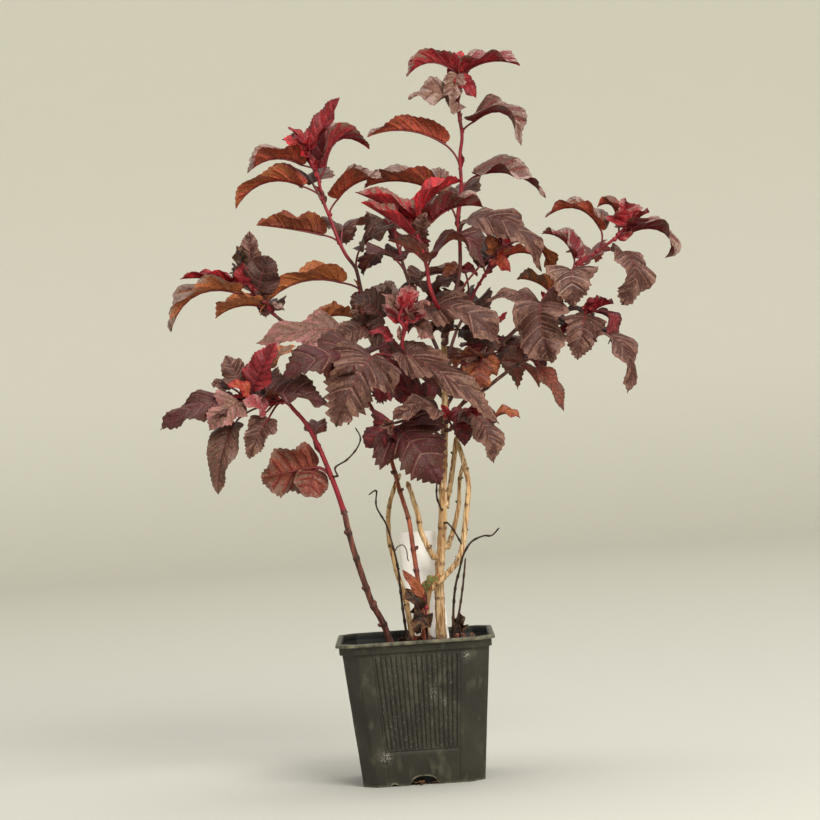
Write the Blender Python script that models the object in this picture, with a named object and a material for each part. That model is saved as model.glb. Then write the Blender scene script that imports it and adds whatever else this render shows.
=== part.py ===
"""A young potted ninebark: old cream stems and new red shoots with lobed purple leaves,
standing in a square black nursery pot with a ribbed panel on each side.

Sizes are in millimetres and every mesh is written out in metres. The origin is the centre of the
pot's flat underside, +Z is up and -Y is the front. Places on the plant were measured across the
pot's middle plane as they look from VIEW_DISTANCE, so seen() carries each one out to its depth."""
import math
import random
from collections import namedtuple

import bmesh
import bpy
from mathutils import Matrix, Vector
from mathutils.bvhtree import BVHTree
from mathutils.geometry import intersect_point_line

MM = 0.001
GAP = 0.35

# Where the plant was looked at from, and the level above the pot's foot that heights on the
# plant are counted from
VIEW_DISTANCE = 1720.0
VIEW_ACROSS = 6.0
VIEW_HEIGHT = 209.0
PLANT_LEVEL = 2.0

# Pot
POT_HEIGHT = 82.0
RIM_WIDTH = 90.0
FLANGE_THICK = 2.0
COLLAR_WIDTH = 86.0
COLLAR_HEIGHT = 4.3
BODY_WIDTH_TOP = 83.0
BODY_WIDTH_FOOT = 69.0
POT_WALL = 1.2
CORNER_CUT = 8.0
INNER_CORNER_CUT = 7.4
RIBS = 17
RIB_SPAN_TOP = 46.0
RIB_SPAN_FOOT = 39.0
RIB_FOOT_Z = 20.0
RIB_TOP_Z = 73.5
RIB_GROOVE = (1.1, 0.5, 0.5)
NOTCH_WIDTH = 15.0
NOTCH_HEIGHT = 5.0
NOTCH_DEPTH = 7.0
NOTCH_STEPS = 6
CHIP = (-17.0, 5.0, 1.3)

# Soil and label
SOIL_TOP = 71.0
SOIL_CELLS = 6
SOIL_UNEVEN = 0.4
SOIL_FLAT_PART = 0.82
LABEL_WIDTH = 21.5
LABEL_THICK = 0.6
LABEL_TOP = 140.5
LABEL_FOOT = 48.0
LABEL_LEAN = 3.6
LABEL_SPOT = (9.5, 14.0)

# Leaf: where each side vein leaves the midrib, and the point of the margin that it runs to,
# both as parts of the blade's length, for a lobed leaf and for a plain oval one
VEIN_FOOT = (0.0, 0.03, 0.13, 0.33, 0.6, 1.0)
LOBED_EDGE = ((0.0, 0.0), (0.03, 0.25), (0.29, 0.43), (0.44, 0.26), (0.70, 0.21), (1.0, 0.0))
OVAL_EDGE = ((0.0, 0.0), (0.03, 0.22), (0.24, 0.41), (0.46, 0.41), (0.70, 0.28), (1.0, 0.0))
EDGE_HALF = 0.43
LEAF_THICK = 0.9
PETIOLE = 9.0
PETIOLE_RADIUS = 0.65
STALK_BEND = 0.35
STALK_TURNS = 4
STALK_STEP = 0.45
STALK_SECTION = ((0.0, 1.0), (-0.87, -0.5), (0.87, -0.5))
MIDRIB_STEPS = 24
MIDRIB_RISE = 0.75
FOLD_EASE = 0.35
FUSE_TRIES = [(solver, nudge) for nudge in (0, 0.02, 0.05, 0.09, 0.14, 0.2)
              for solver in ("EXACT", "MANIFOLD")]
SAME_PLACE = 0.0003
SCRAP_FACES = 24

Leaf = namedtuple("Leaf", "base tip out dy arch wide tilt turn fold curl lobe")


def leaf(base, tip, out=0, dy=0, arch=None, wide=None, tilt=0, turn=0, fold=45, curl=0.0, lobe=1.0):
    """One measured leaf: where its blade starts and ends as seen from the front, how far the
    blade's foot stands out from the stem and its tip from its foot (both along Y), how high it
    arches, its width, how far its upper side leans to the viewer and is turned to the right, how
    far its halves fold up, how far its tip curls back, and how lobed it is."""
    long = math.hypot(tip[0] - base[0], tip[1] - base[1])
    if arch is None:
        arch = 0.16 * long
    if wide is None:
        wide = 0.5 * long
    return Leaf(base, tip, out, dy, arch, wide, tilt, turn, fold, curl, lobe)


def seen(across, up, depth):
    """The real place of what shows at (across, up) on the middle plane but stands at depth."""
    grow = 1 + depth / VIEW_DISTANCE
    return Vector((VIEW_ACROSS + (across - VIEW_ACROSS) * grow, depth,
                   PLANT_LEVEL + VIEW_HEIGHT + (up - VIEW_HEIGHT) * grow))


def smooth_path(places, steps):
    """A smooth run through the places, with steps pieces between each two."""
    ends = [places[0] * 2 - places[1]] + list(places) + [places[-1] * 2 - places[-2]]
    run = []
    for i in range(1, len(ends) - 2):
        a, b, c, d = ends[i - 1:i + 3]
        for k in range(steps):
            t = k / steps
            run.append(0.5 * (b * 2 + (c - a) * t + (a * 2 - b * 5 + c * 4 - d) * t * t
                              + (b * 3 - a - c * 3 + d) * t * t * t))
    run.append(places[-1].copy())
    return run


def tube(run, radii, sides):
    """A closed round limb along run, radius tapering from radii[0] to radii[1]."""
    verts = []
    faces = []
    last = len(run) - 1
    side = None
    for i, place in enumerate(run):
        along = (run[min(i + 1, last)] - run[max(i - 1, 0)]).normalized()
        if side is None:
            side = along.orthogonal().normalized()
        side = (side - along * side.dot(along)).normalized()
        other = along.cross(side)
        radius = radii[0] + (radii[1] - radii[0]) * i / last
        for k in range(sides):
            angle = 2 * math.pi * k / sides
            verts.append(place + (side * math.cos(angle) + other * math.sin(angle)) * radius)
    for i in range(last):
        for k in range(sides):
            n = (k + 1) % sides
            faces.append((i * sides + k, i * sides + n, (i + 1) * sides + n, (i + 1) * sides + k))
    faces.append(tuple(reversed(range(sides))))
    faces.append(tuple(range(last * sides, (last + 1) * sides)))
    return verts, faces


def midrib(base, tip, lean, arch, curl):
    """The blade's arched midrib as a function of the part of its length, with its upward
    direction, its sideways direction and its whole length."""
    chord = tip - base
    way = chord.normalized()
    up = (lean - way * lean.dot(way)).normalized()
    side = way.cross(up)
    high = up * (arch / MIDRIB_RISE)
    a = base + chord * 0.3 + high
    b = base + chord * (0.7 + curl) + high
    places = []
    for i in range(MIDRIB_STEPS + 1):
        t = i / MIDRIB_STEPS
        s = 1 - t
        places.append(base * s ** 3 + a * (3 * s * s * t) + b * (3 * s * t * t) + tip * t ** 3)
    lengths = [0.0]
    for i in range(MIDRIB_STEPS):
        lengths.append(lengths[-1] + (places[i + 1] - places[i]).length)
    whole = lengths[-1]

    def at(part):
        target = min(max(part, 0.0), 1.0) * whole
        i = 0
        while i < MIDRIB_STEPS - 1 and lengths[i + 1] < target:
            i += 1
        step = places[i + 1] - places[i]
        along = step.normalized()
        rest = part * whole - lengths[i]
        return places[i] + along * rest, along, side.cross(along)

    return at, side, whole


def blade(spec, stalk, base, tip, thick, extra=0.0):
    """A leaf as one closed thin solid: a three-sided stalk that opens into the blade, with the
    blade's veins running from the midrib to the margin."""
    tilt = math.radians(spec.tilt)
    turn = math.radians(spec.turn)
    lean = Vector((math.sin(turn) * abs(math.sin(tilt)), -math.sin(tilt) * math.cos(turn),
                   math.cos(tilt)))
    at, side, whole = midrib(base, tip, lean, spec.arch, spec.curl)
    across = (spec.wide + 2 * extra) / (2 * EDGE_HALF)
    last = len(VEIN_FOOT) - 1
    verts = []
    faces = []
    run = stalk(at)
    reach = side
    for i in range(len(run) - 1, -1, -1):
        along = (run[min(i + 1, len(run) - 1)] - run[max(i - 1, 0)]).normalized()
        reach = (reach - along * reach.dot(along)).normalized()
        over = reach.cross(along)
        radius = PETIOLE_RADIUS + extra / 2
        for x, y in STALK_SECTION:
            verts.append(run[i] + (reach * x + over * y) * radius)
    rings = len(run)
    for i in range(rings - 1):
        for k in range(3):
            n = (k + 1) % 3
            faces.append((3 * i + n, 3 * i + k, 3 * i + 3 + k, 3 * i + 3 + n))
    faces.append((3 * rings - 1, 3 * rings - 2, 3 * rings - 3))

    lines = []
    for i in range(1, last):
        place, along, up = at(VEIN_FOOT[i])
        line = [place + up * thick * 0.5, place - up * thick * 0.5]
        edge = [LOBED_EDGE[i][k] * spec.lobe + OVAL_EDGE[i][k] * (1 - spec.lobe) for k in (0, 1)]
        place, along, up = at(edge[0])
        fold = math.radians(spec.fold * (1 - FOLD_EASE * edge[0]))
        for hand in (-1, 1):
            out = side * hand * math.cos(fold) + up * math.sin(fold)
            line.append(place + out * edge[1] * across)
        lines.append([len(verts) + k for k in range(4)])
        verts += line
    place, along, up = at(1.0)
    end = len(verts)
    verts.append(place + along * extra)

    top, under, left, right = lines[0]
    faces += [(0, left, top), (0, 1, left), (0, top, right), (0, right, 2),
              (1, under, left), (2, right, under), (1, 2, under)]
    for first, second in zip(lines, lines[1:]):
        a, b, c, d = first
        e, f, g, h = second
        faces += [(a, c, g), (a, g, e), (a, h, d), (a, e, h),
                  (b, g, c), (b, f, g), (b, d, h), (b, h, f)]
    a, b, c, d = lines[-1]
    faces += [(a, c, end), (a, end, d), (b, end, c), (b, d, end)]
    return verts, faces


def joined(pieces):
    """Several meshes as one list of places and faces."""
    verts = []
    faces = []
    for more_verts, more_faces in pieces:
        start = len(verts)
        verts += more_verts
        faces += [tuple(start + i for i in face) for face in more_faces]
    return verts, faces


def make(name, mesh_data, colour, roughness, smooth=False):
    """A named object in metres with its own plain material."""
    mesh = bpy.data.meshes.new(name)
    mesh.from_pydata([place * MM for place in mesh_data[0]], [], mesh_data[1])
    work = bmesh.new()
    work.from_mesh(mesh)
    bmesh.ops.recalc_face_normals(work, faces=work.faces)
    work.to_mesh(mesh)
    work.free()
    thing = bpy.data.objects.new(name, mesh)
    bpy.context.scene.collection.objects.link(thing)
    material = bpy.data.materials.new(name)
    material.use_nodes = True
    shader = material.node_tree.nodes["Principled BSDF"]
    shader.inputs["Base Color"].default_value = (*colour, 1)
    shader.inputs["Roughness"].default_value = roughness
    mesh.materials.append(material)
    if smooth:
        mesh.shade_smooth()
    return thing


def cut(thing, cutter):
    """Cut one object out of another; the cutter stays as a hidden wire object."""
    cutter.hide_render = True
    cutter.display_type = "WIRE"
    cutter.hide_viewport = False
    modifier = thing.modifiers.new(cutter.name, "BOOLEAN")
    modifier.operation = "DIFFERENCE"
    modifier.solver = "EXACT"
    modifier.object = cutter


def fuse(body, leaves):
    """Fuse a stem and its leaves to one closed solid; where the exact solver leaves the skin
    open, the quicker one is tried, and then small shifts of the leaves."""
    group = bpy.data.collections.new(body.name + "_leaves")
    for i, piece in enumerate(leaves):
        part = make(f"{body.name}_leaf_{i}", piece, (0.1, 0.1, 0.1), 0.6)
        bpy.context.scene.collection.objects.unlink(part)
        group.objects.link(part)
    bpy.context.scene.collection.children.link(group)
    modifier = body.modifiers.new("fuse", "BOOLEAN")
    modifier.operation = "UNION"
    modifier.operand_type = "COLLECTION"
    modifier.collection = group
    for solver, nudge in FUSE_TRIES:
        modifier.solver = solver
        for i, part in enumerate(group.objects):
            part.location = Vector((i % 3 - 1, i % 2, i % 5 - 2)) * nudge * MM
        bpy.context.view_layer.update()
        fused = bpy.data.meshes.new_from_object(body.evaluated_get(bpy.context.evaluated_depsgraph_get()))
        if one_skin(fused):
            break
    body.modifiers.clear()
    fused.materials.clear()
    fused.materials.append(body.data.materials[0])
    body.data = fused
    for part in list(group.objects):
        bpy.data.objects.remove(part)
    bpy.data.collections.remove(group)


def islands_of(work):
    """The mesh's separate skins, each as a set of faces."""
    islands = []
    left = set(work.faces)
    while left:
        start = left.pop()
        island = {start}
        front = [start]
        while front:
            for edge in front.pop().edges:
                for other in edge.link_faces:
                    if other not in island:
                        island.add(other)
                        front.append(other)
        left -= island
        islands.append(island)
    return islands


def one_skin(mesh):
    """Drop loose scraps and sealed hollows; True if they were small and the one skin that is left
    is closed, with no pinch."""
    work = bmesh.new()
    work.from_mesh(mesh)
    islands = islands_of(work)
    keep = max(islands, key=len)
    scraps = [face for island in islands if island is not keep for face in island]
    bmesh.ops.delete(work, geom=scraps, context="FACES")
    bmesh.ops.triangulate(work, faces=work.faces)
    work.to_mesh(mesh)
    bmesh.ops.remove_doubles(work, verts=work.verts, dist=SAME_PLACE * MM)
    closed = all(len(edge.link_faces) == 2 for edge in work.edges)
    work.free()
    return closed and len(scraps) <= SCRAP_FACES


# What later pieces must stay clear of, by node, and the limbs' runs
solids = {}
limbs = {}


def tree(mesh_data):
    return BVHTree.FromPolygons([tuple(v) for v in mesh_data[0]], mesh_data[1])


def clear(mesh_data, name):
    """True if the mesh touches no node but its own."""
    test = tree(mesh_data)
    return not any(other.overlap(test) for node, other in solids.items() if node != name)


def square_ring(half, corner, z):
    """The eight corners of a square with cut corners."""
    flat = half - corner
    ring = []
    for turn in range(4):
        spin = Matrix.Rotation(math.pi / 2 * turn, 3, "Z")
        for x in (-flat, flat):
            ring.append(spin @ Vector((x, -half, z)))
    return ring


def loft(rings):
    """A closed solid through rings of the same count."""
    count = len(rings[0])
    verts = [place for ring in rings for place in ring]
    faces = []
    for i in range(len(rings) - 1):
        for k in range(count):
            n = (k + 1) % count
            faces.append((i * count + k, i * count + n, (i + 1) * count + n, (i + 1) * count + k))
    faces.append(tuple(reversed(range(count))))
    faces.append(tuple(range((len(rings) - 1) * count, len(rings) * count)))
    return verts, faces


def body_half(z):
    """Half the pot's outer width at height z."""
    under = POT_HEIGHT - FLANGE_THICK - COLLAR_HEIGHT
    return (BODY_WIDTH_FOOT + (BODY_WIDTH_TOP - BODY_WIDTH_FOOT) * z / under) / 2


def pot():
    """The moulded pot: tapered body, collar, flange, open inside, grooved panels and notches."""
    flange_z = POT_HEIGHT - FLANGE_THICK
    collar_z = flange_z - COLLAR_HEIGHT
    collar = COLLAR_WIDTH / 2
    rim = RIM_WIDTH / 2
    outside = [(0, body_half(0)), (collar_z, body_half(collar_z)), (collar_z, collar),
               (flange_z, collar), (flange_z, rim), (POT_HEIGHT, rim)]
    inside = [(POT_HEIGHT, collar - POT_WALL), (collar_z, body_half(collar_z) - POT_WALL),
              (POT_WALL, body_half(POT_WALL) - POT_WALL)]
    rings = [square_ring(half, CORNER_CUT, z) for z, half in outside]
    rings += [square_ring(half, INNER_CORNER_CUT, z) for z, half in inside]
    shell = make("pot", loft(rings), (0.045, 0.045, 0.04), 0.6)

    wide, flat, deep = RIB_GROOVE
    grooves = []
    for turn in range(4):
        spin = Matrix.Rotation(math.pi / 2 * turn, 3, "Z")
        for k in range(RIBS):
            share = k / (RIBS - 1) - 0.5
            rings = []
            for z, span in ((RIB_FOOT_Z, RIB_SPAN_FOOT), (RIB_TOP_Z, RIB_SPAN_TOP)):
                x = share * span
                y = -body_half(z)
                ring = [(x - wide / 2, y - deep), (x + wide / 2, y - deep), (x + wide / 2, y),
                        (x + flat / 2, y + deep), (x - flat / 2, y + deep), (x - wide / 2, y)]
                rings.append([spin @ Vector((a, b, z)) for a, b in ring])
            grooves.append(loft(rings))
    cut(shell, make("pot_groove_cut", joined(grooves), (0.5, 0.5, 0.5), 0.5))

    arches = []
    openings = [(0, NOTCH_WIDTH, NOTCH_HEIGHT, turn) for turn in range(4)]
    openings.append((CHIP[0], CHIP[1], CHIP[2], 0))
    for x, width, height, turn in openings:
        spin = Matrix.Rotation(math.pi / 2 * turn, 3, "Z")
        outline = [(x - width / 2, -1.0)]
        for k in range(NOTCH_STEPS + 1):
            angle = math.pi * (1 - k / NOTCH_STEPS)
            outline.append((x + math.cos(angle) * width / 2, math.sin(angle) * height))
        outline.append((x + width / 2, -1.0))
        inner = NOTCH_DEPTH if height == NOTCH_HEIGHT else POT_WALL + 0.6
        rings = []
        for y in (-body_half(0) + inner, -body_half(0) - 3):
            rings.append([spin @ Vector((a, y, z)) for a, z in outline])
        arches.append(loft(rings))
    cut(shell, make("pot_notch_cut", joined(arches), (0.5, 0.5, 0.5), 0.5))


def soil():
    """The root ball that fills the pot, with an uneven top and a slot for the label."""
    shake = random.Random(4)
    work = bmesh.new()
    rings = []
    for z in (POT_WALL + GAP, SOIL_TOP - 2 * SOIL_UNEVEN):
        half = body_half(z) - POT_WALL - GAP
        rings.append([work.verts.new(place) for place in square_ring(half, INNER_CORNER_CUT, z)])
    work.faces.new(list(reversed(rings[0])))
    for k in range(8):
        n = (k + 1) % 8
        work.faces.new((rings[0][k], rings[0][n], rings[1][n], rings[1][k]))
    top = []
    inner = half * SOIL_FLAT_PART
    for row in range(SOIL_CELLS + 1):
        line = []
        for column in range(SOIL_CELLS + 1):
            x = inner * (2 * column / SOIL_CELLS - 1)
            y = inner * (2 * row / SOIL_CELLS - 1)
            line.append(work.verts.new((x, y, SOIL_TOP - SOIL_UNEVEN * shake.random())))
        top.append(line)
    for row in range(SOIL_CELLS):
        for column in range(SOIL_CELLS):
            work.faces.new((top[row][column], top[row][column + 1],
                            top[row + 1][column + 1], top[row + 1][column]))
    loops = [edge for edge in work.edges if edge.is_boundary]
    bmesh.ops.bridge_loops(work, edges=loops)
    bmesh.ops.triangulate(work, faces=work.faces)
    work.verts.index_update()
    verts = [vert.co.copy() for vert in work.verts]
    faces = [tuple(vert.index for vert in face.verts) for face in work.faces]
    work.free()
    block = make("soil", (verts, faces), (0.05, 0.035, 0.025), 0.95)
    cut(block, make("label_slot_cut", label_block(2 * GAP, 1.0), (0.5, 0.5, 0.5), 0.5))


def label_block(grow, lower):
    """The label's leaning strip, grown on all sides for its slot."""
    wide = LABEL_WIDTH + grow
    thick = LABEL_THICK + grow
    x, y = LABEL_SPOT
    lean = math.tan(math.radians(LABEL_LEAN))
    rings = []
    for z in (LABEL_FOOT - lower, LABEL_TOP):
        middle = x - (z - SOIL_TOP) * lean
        rings.append([Vector((middle + a * wide / 2, y + b * thick / 2, z))
                      for a, b in ((-1, -1), (1, -1), (1, 1), (-1, 1))])
    return loft(rings)


def rooted(spots, meets, steps):
    """The run of a stem, with its root added on the axis of the first limb that it meets where
    it doesn't start inside that limb, and the stretch of the run from its first given spot on."""
    own = smooth_path([seen(*spot) for spot in spots], steps)
    if not meets:
        return own, own
    axis, radii, sides = limbs[meets[0]]
    near = []
    for i in range(len(axis) - 1):
        share = min(max(intersect_point_line(own[0], axis[i], axis[i + 1])[1], 0.0), 1.0)
        place = axis[i].lerp(axis[i + 1], share)
        radius = radii[0] + (radii[1] - radii[0]) * (i + share) / (len(axis) - 1)
        near.append(((place - own[0]).length, radius, place))
    away, radius, place = min(near, key=lambda found: found[0])
    return (own, own) if away < radius else ([place, *own], own)


def grown_out(name):
    """The named limb's tube, GAP wider and longer all round, to cut what meets it."""
    run, radii, sides = limbs[name]
    run = [run[0] - (run[1] - run[0]).normalized() * GAP, *run[1:-1],
           run[-1] + (run[-1] - run[-2]).normalized() * GAP]
    wider = tuple((radius + GAP) / math.cos(math.pi / sides) for radius in radii)
    return tube(run, wider, sides)


def cut_at_ground(mesh):
    """Cut a stem flat and level, GAP above the soil."""
    work = bmesh.new()
    work.from_mesh(mesh)
    level = Vector((0, 0, (SOIL_TOP + GAP) * MM))
    found = bmesh.ops.bisect_plane(work, geom=work.verts[:] + work.edges[:] + work.faces[:], dist=1e-7,
                                   plane_co=level, plane_no=(0, 0, 1), clear_inner=True)
    rim = [part for part in found["geom_cut"] if isinstance(part, bmesh.types.BMEdge)]
    bmesh.ops.contextual_create(work, geom=rim)
    bmesh.ops.recalc_face_normals(work, faces=work.faces)
    work.to_mesh(mesh)
    work.free()


def stem(name, run, radii, sides, colour, meets):
    """A tapering stem, its foot cut clear of the limbs that it meets, or level at the ground."""
    limbs[name] = (run, radii, sides)
    thing = make(name, tube(run, radii, sides), colour, 0.6, smooth=True)
    for other in meets:
        cutter = make("limb_cut", grown_out(other), colour, 0.6)
        cut(thing, cutter)
        bpy.context.view_layer.update()
        left = bpy.data.meshes.new_from_object(thing.evaluated_get(bpy.context.evaluated_depsgraph_get()))
        thing.modifiers.clear()
        thing.data = left
        bpy.data.objects.remove(cutter)
        one_skin(left)
    if not meets:
        cut_at_ground(thing.data)
    return thing


def limb(name, spots, radii, sides=6, steps=2, colour=(0.5, 0.38, 0.22), meets=()):
    """A stem or bough through spots of (across, up, depth)."""
    run = rooted(spots, meets, steps)[0]
    stem(name, run, radii, sides, colour, meets)
    solids[name] = tree(tube(run, radii, sides))


def petiole_start(run, base, length):
    """The place on the stem, on its foot side, that the leaf stalk leaves from."""
    nearest = min(range(len(run)), key=lambda i: (run[i] - base).length)
    for i in range(nearest, -1, -1):
        if (run[i] - base).length >= length:
            return i
    return 0


def grown(spec, run, number, thick, extra):
    """One measured leaf on its stem; leaves that leave it near each other take turns along it."""
    first = seen(*spec.base, run[0].y)
    start = petiole_start(run, first, PETIOLE)
    depth = run[start].y + spec.out
    base = seen(*spec.base, depth)
    tip = seen(*spec.tip, depth + spec.dy)
    onward = (run[min(start + 1, len(run) - 1)] - run[max(start - 1, 0)]).normalized()
    root = run[start] + onward * (number % STALK_TURNS) * STALK_STEP

    def stalk(at):
        bend = (base - root).length * STALK_BEND
        leaving = root + onward * bend
        arriving = base - at(0)[1] * bend
        middle = (root + leaving * 3 + arriving * 3 + base) / 8
        return [root, middle, base]

    return blade(spec, stalk, base, tip, thick, extra)


def mass(name, spots, radii, leaves, colour, meets=(), steps=2, sides=4):
    """One shoot: its stem, with the leaves that fit in its space fused on."""
    run, own = rooted(spots, meets, steps)
    pieces = []
    for number, spec in enumerate(leaves):
        if clear(grown(spec, own, number, LEAF_THICK + 2 * GAP, GAP), name):
            pieces.append(grown(spec, own, number, LEAF_THICK, 0.0))
    fuse(stem(name, run, radii, sides, colour, meets), pieces)
    solids[name] = tree(joined([tube(run, radii, sides), *pieces]))


for old in list(bpy.data.objects):
    bpy.data.objects.remove(old)

pot()
soil()
label = make("label", label_block(0, 0), (0.85, 0.84, 0.8), 0.45)

OLD_BARK = (0.55, 0.42, 0.25)
RED_BARK = (0.16, 0.05, 0.04)
DRY_BARK = (0.06, 0.04, 0.03)
UNDER_GROUND = 60.0

# Old cream stems
limb("main_stem", [(15, UNDER_GROUND, -2), (15.5, 100, -1), (17, 118, 0), (20, 140, 2), (22, 165, 4),
                   (25, 195, 5), (27, 225, 5), (28, 249, 6)], (2.5, 1.4), colour=OLD_BARK)
limb("right_old_stem", [(5, UNDER_GROUND, -11), (9, 101, -12), (18, 111, -12), (27, 120, -12),
                        (31, 130, -12), (34, 147, -11), (36.5, 163, -10), (35, 176, -8), (32, 189, -4)],
     (1.6, 1.3), colour=OLD_BARK)
limb("right_old_branch", [(22.5, 129, 2), (26, 138, 8), (30, 152, 9), (32, 168, 8), (34.5, 176, 4)],
     (1.5, 1.0), colour=OLD_BARK, meets=["main_stem", "right_old_stem"])
limb("inner_old_branch", [(22.5, 152, 4), (26, 164, 9), (29, 178, 10), (31.5, 192, 8)],
     (1.5, 1.2), colour=OLD_BARK, meets=["main_stem", "right_old_stem"])
limb("left_old_stem", [(1, UNDER_GROUND, 6), (-4, 100, 5), (-8, 118, 5), (-11, 138, 6), (-10, 153, 6),
                       (-6, 165, 6), (-2, 173, 6)], (1.7, 1.2), colour=OLD_BARK)
limb("left_old_branch", [(13.5, 124, -1), (10, 132, -2), (7.5, 139, -2), (6.5, 148, -2), (4, 159, 0),
                         (1.5, 168, 3)], (1.6, 1.3), colour=OLD_BARK, meets=["main_stem", "left_old_stem"])

# Red-brown stems of last year
limb("red_brown_stem", [(6, UNDER_GROUND, -20), (5, 95, -19), (4, 110, -17), (2.5, 128, -14), (1, 146, -11),
                        (-3, 163, -8), (-6, 178, -6), (-11, 198, -3), (-17, 214, 0), (-28, 232, 4),
                        (-41, 249, 8), (-56, 260, 10)], (1.6, 1.1), colour=RED_BARK, steps=2)
limb("lower_left_stem", [(-10, UNDER_GROUND, -18), (-17, 86, -21), (-23, 99, -24), (-26, 109, -26),
                         (-31, 128, -29), (-34, 142, -30), (-35.5, 152, -30)], (2.0, 1.7), colour=RED_BARK)

# Boughs of the new growth
limb("upper_left_bough", [(25.5, 215, 8), (16, 226, 15), (4, 238, 20), (-8, 256, 22), (-16, 274, 22)],
     (1.3, 1.1), colour=RED_BARK, meets=["main_stem"])
limb("right_high_bough", [(28.5, 216, 6), (41, 229, 3), (50, 236, 1), (60, 243, 0), (71, 252, 0),
                          (84, 264, 0), (96, 274, 0)], (1.3, 1.0), colour=RED_BARK, meets=["main_stem"])
limb("right_low_bough", [(27, 201, 0), (38, 212, -6), (48, 217, -8), (60, 225, -9), (68, 230, -9),
                         (77, 234, -9)], (1.3, 0.95), colour=RED_BARK, meets=["main_stem", "right_old_stem"])

# Dry twigs
limb("dry_twig_left", [(-3, UNDER_GROUND, -4), (-6, 97, -4), (-7, 118, -5), (-9, 131, -7), (-12, 144, -9),
                       (-17, 155, -11), (-16.5, 164, -12), (-21, 162, -14)], (0.8, 0.4), 4, 2, DRY_BARK)
limb("dry_twig_right", [(20, UNDER_GROUND, -13), (24, 100, -17), (28, 115, -20), (31, 124, -22),
                        (36, 131, -23), (43, 134, -24), (48, 134, -25), (52.5, 138, -25)],
     (0.8, 0.45), 4, 2, DRY_BARK)
limb("thin_twig_right", [(16, UNDER_GROUND, -22), (25, 87, -23), (29, 104, -24), (32, 122, -25)],
     (0.75, 0.5), 4, 2, (0.3, 0.18, 0.12))
limb("short_twig", [(20, 151, -3), (18, 158, -8), (18.5, 166, -14)],
     (0.6, 0.5), 4, 2, DRY_BARK, meets=["main_stem"])
limb("cross_twig", [(23, 143, -3), (26, 139, -7), (30.5, 130, -17)],
     (0.5, 0.5), 4, 2, DRY_BARK, meets=["main_stem"])

DUSK = (0.09, 0.035, 0.04)
RED = (0.3, 0.02, 0.03)

mass("top_shoot", [(28, 251, 6), (34, 268, 8), (39.5, 285, 10), (41, 300, 11), (41, 318, 11), (44, 334, 10),
                   (44.5, 352, 10), (46.5, 364, 10), (45.5, 378, 10), (46, 390, 10), (48, 401, 10)],
     (1.2, 1.3), [
    leaf((46, 400), (17, 401), dy=-6, arch=9, wide=24, tilt=-15, fold=50, lobe=0.5),
    leaf((50, 401), (82.5, 403), dy=-8, arch=5, wide=26, tilt=10, fold=50),
    leaf((43, 384), (19, 391), dy=10, arch=1, wide=24, tilt=-30, fold=40),
    leaf((35, 361), (-8, 367), dy=-12, arch=6, wide=26, tilt=-10, fold=50),
    leaf((54, 372), (80, 356), dy=-8, arch=14, wide=24, tilt=10, fold=30),
    leaf((54, 341), (92, 325), dy=14, arch=8, wide=24, tilt=0, fold=35),
    leaf((30, 335), (-12, 341), dy=20, arch=6, wide=30, tilt=0, fold=45),
    leaf((46, 315), (87, 283), out=-4, dy=-14, arch=15, wide=32, tilt=25, fold=-5, lobe=0.7),
    leaf((87, 297), (90, 271), out=8, dy=6, arch=4, wide=14, tilt=10, turn=70, fold=20, lobe=0.3),
    leaf((44, 397), (38, 411), out=8, dy=16, arch=4, wide=16, tilt=-20, fold=40, lobe=0.4),
    leaf((43, 330), (36, 318), out=14, dy=40, arch=10, wide=28, fold=25, tilt=0),
], DUSK, meets=["main_stem"])

mass("upper_left_shoot", [(-17, 277, 22), (-19, 290, 23), (-20.5, 294, 23), (-25, 301, 23), (-29, 311, 24),
                          (-32, 321, 25), (-35.5, 332, 26), (-37, 341, 26), (-38, 348, 26), (-42, 357, 26),
                          (-42, 362, 26)], (1.1, 0.9), [
    leaf((-40, 363), (-22, 391), dy=-4, arch=-1, wide=20, tilt=30, fold=45, lobe=0.5),
    leaf((-44, 358), (-59, 372), dy=-8, arch=3, wide=18, tilt=40, fold=20, lobe=0.6),
    leaf((-47, 354), (-78, 351), dy=-10, arch=6, wide=22, fold=45),
    leaf((-48, 342), (-86, 331), dy=8, arch=9, wide=24, fold=45),
    leaf((-38, 313), (-75, 321), dy=-12, arch=1, wide=26, fold=50),
    leaf((-33, 352), (-7, 360), dy=10, arch=12, wide=24, fold=40),
    leaf((-27, 333), (-3, 343), dy=-10, arch=4, wide=26, fold=40),
    leaf((-15, 305), (9, 314), dy=-12, arch=3, wide=26, tilt=30, fold=10),
    leaf((-29, 285), (-73, 276), dy=-16, arch=7, wide=26, fold=45, tilt=-5),
    leaf((-41, 362), (-27, 378), dy=8, arch=0, wide=8, fold=30, lobe=0.2),
    leaf((-41, 340), (-46, 332), out=16, dy=36, arch=9, wide=26, fold=30),
    leaf((-26, 312), (-22, 300), out=14, dy=34, arch=9, wide=26, fold=30),
    leaf((-42, 360), (-48, 364), out=10, dy=24, arch=5, wide=20, fold=35),
], DUSK, meets=["upper_left_bough"])

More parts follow.
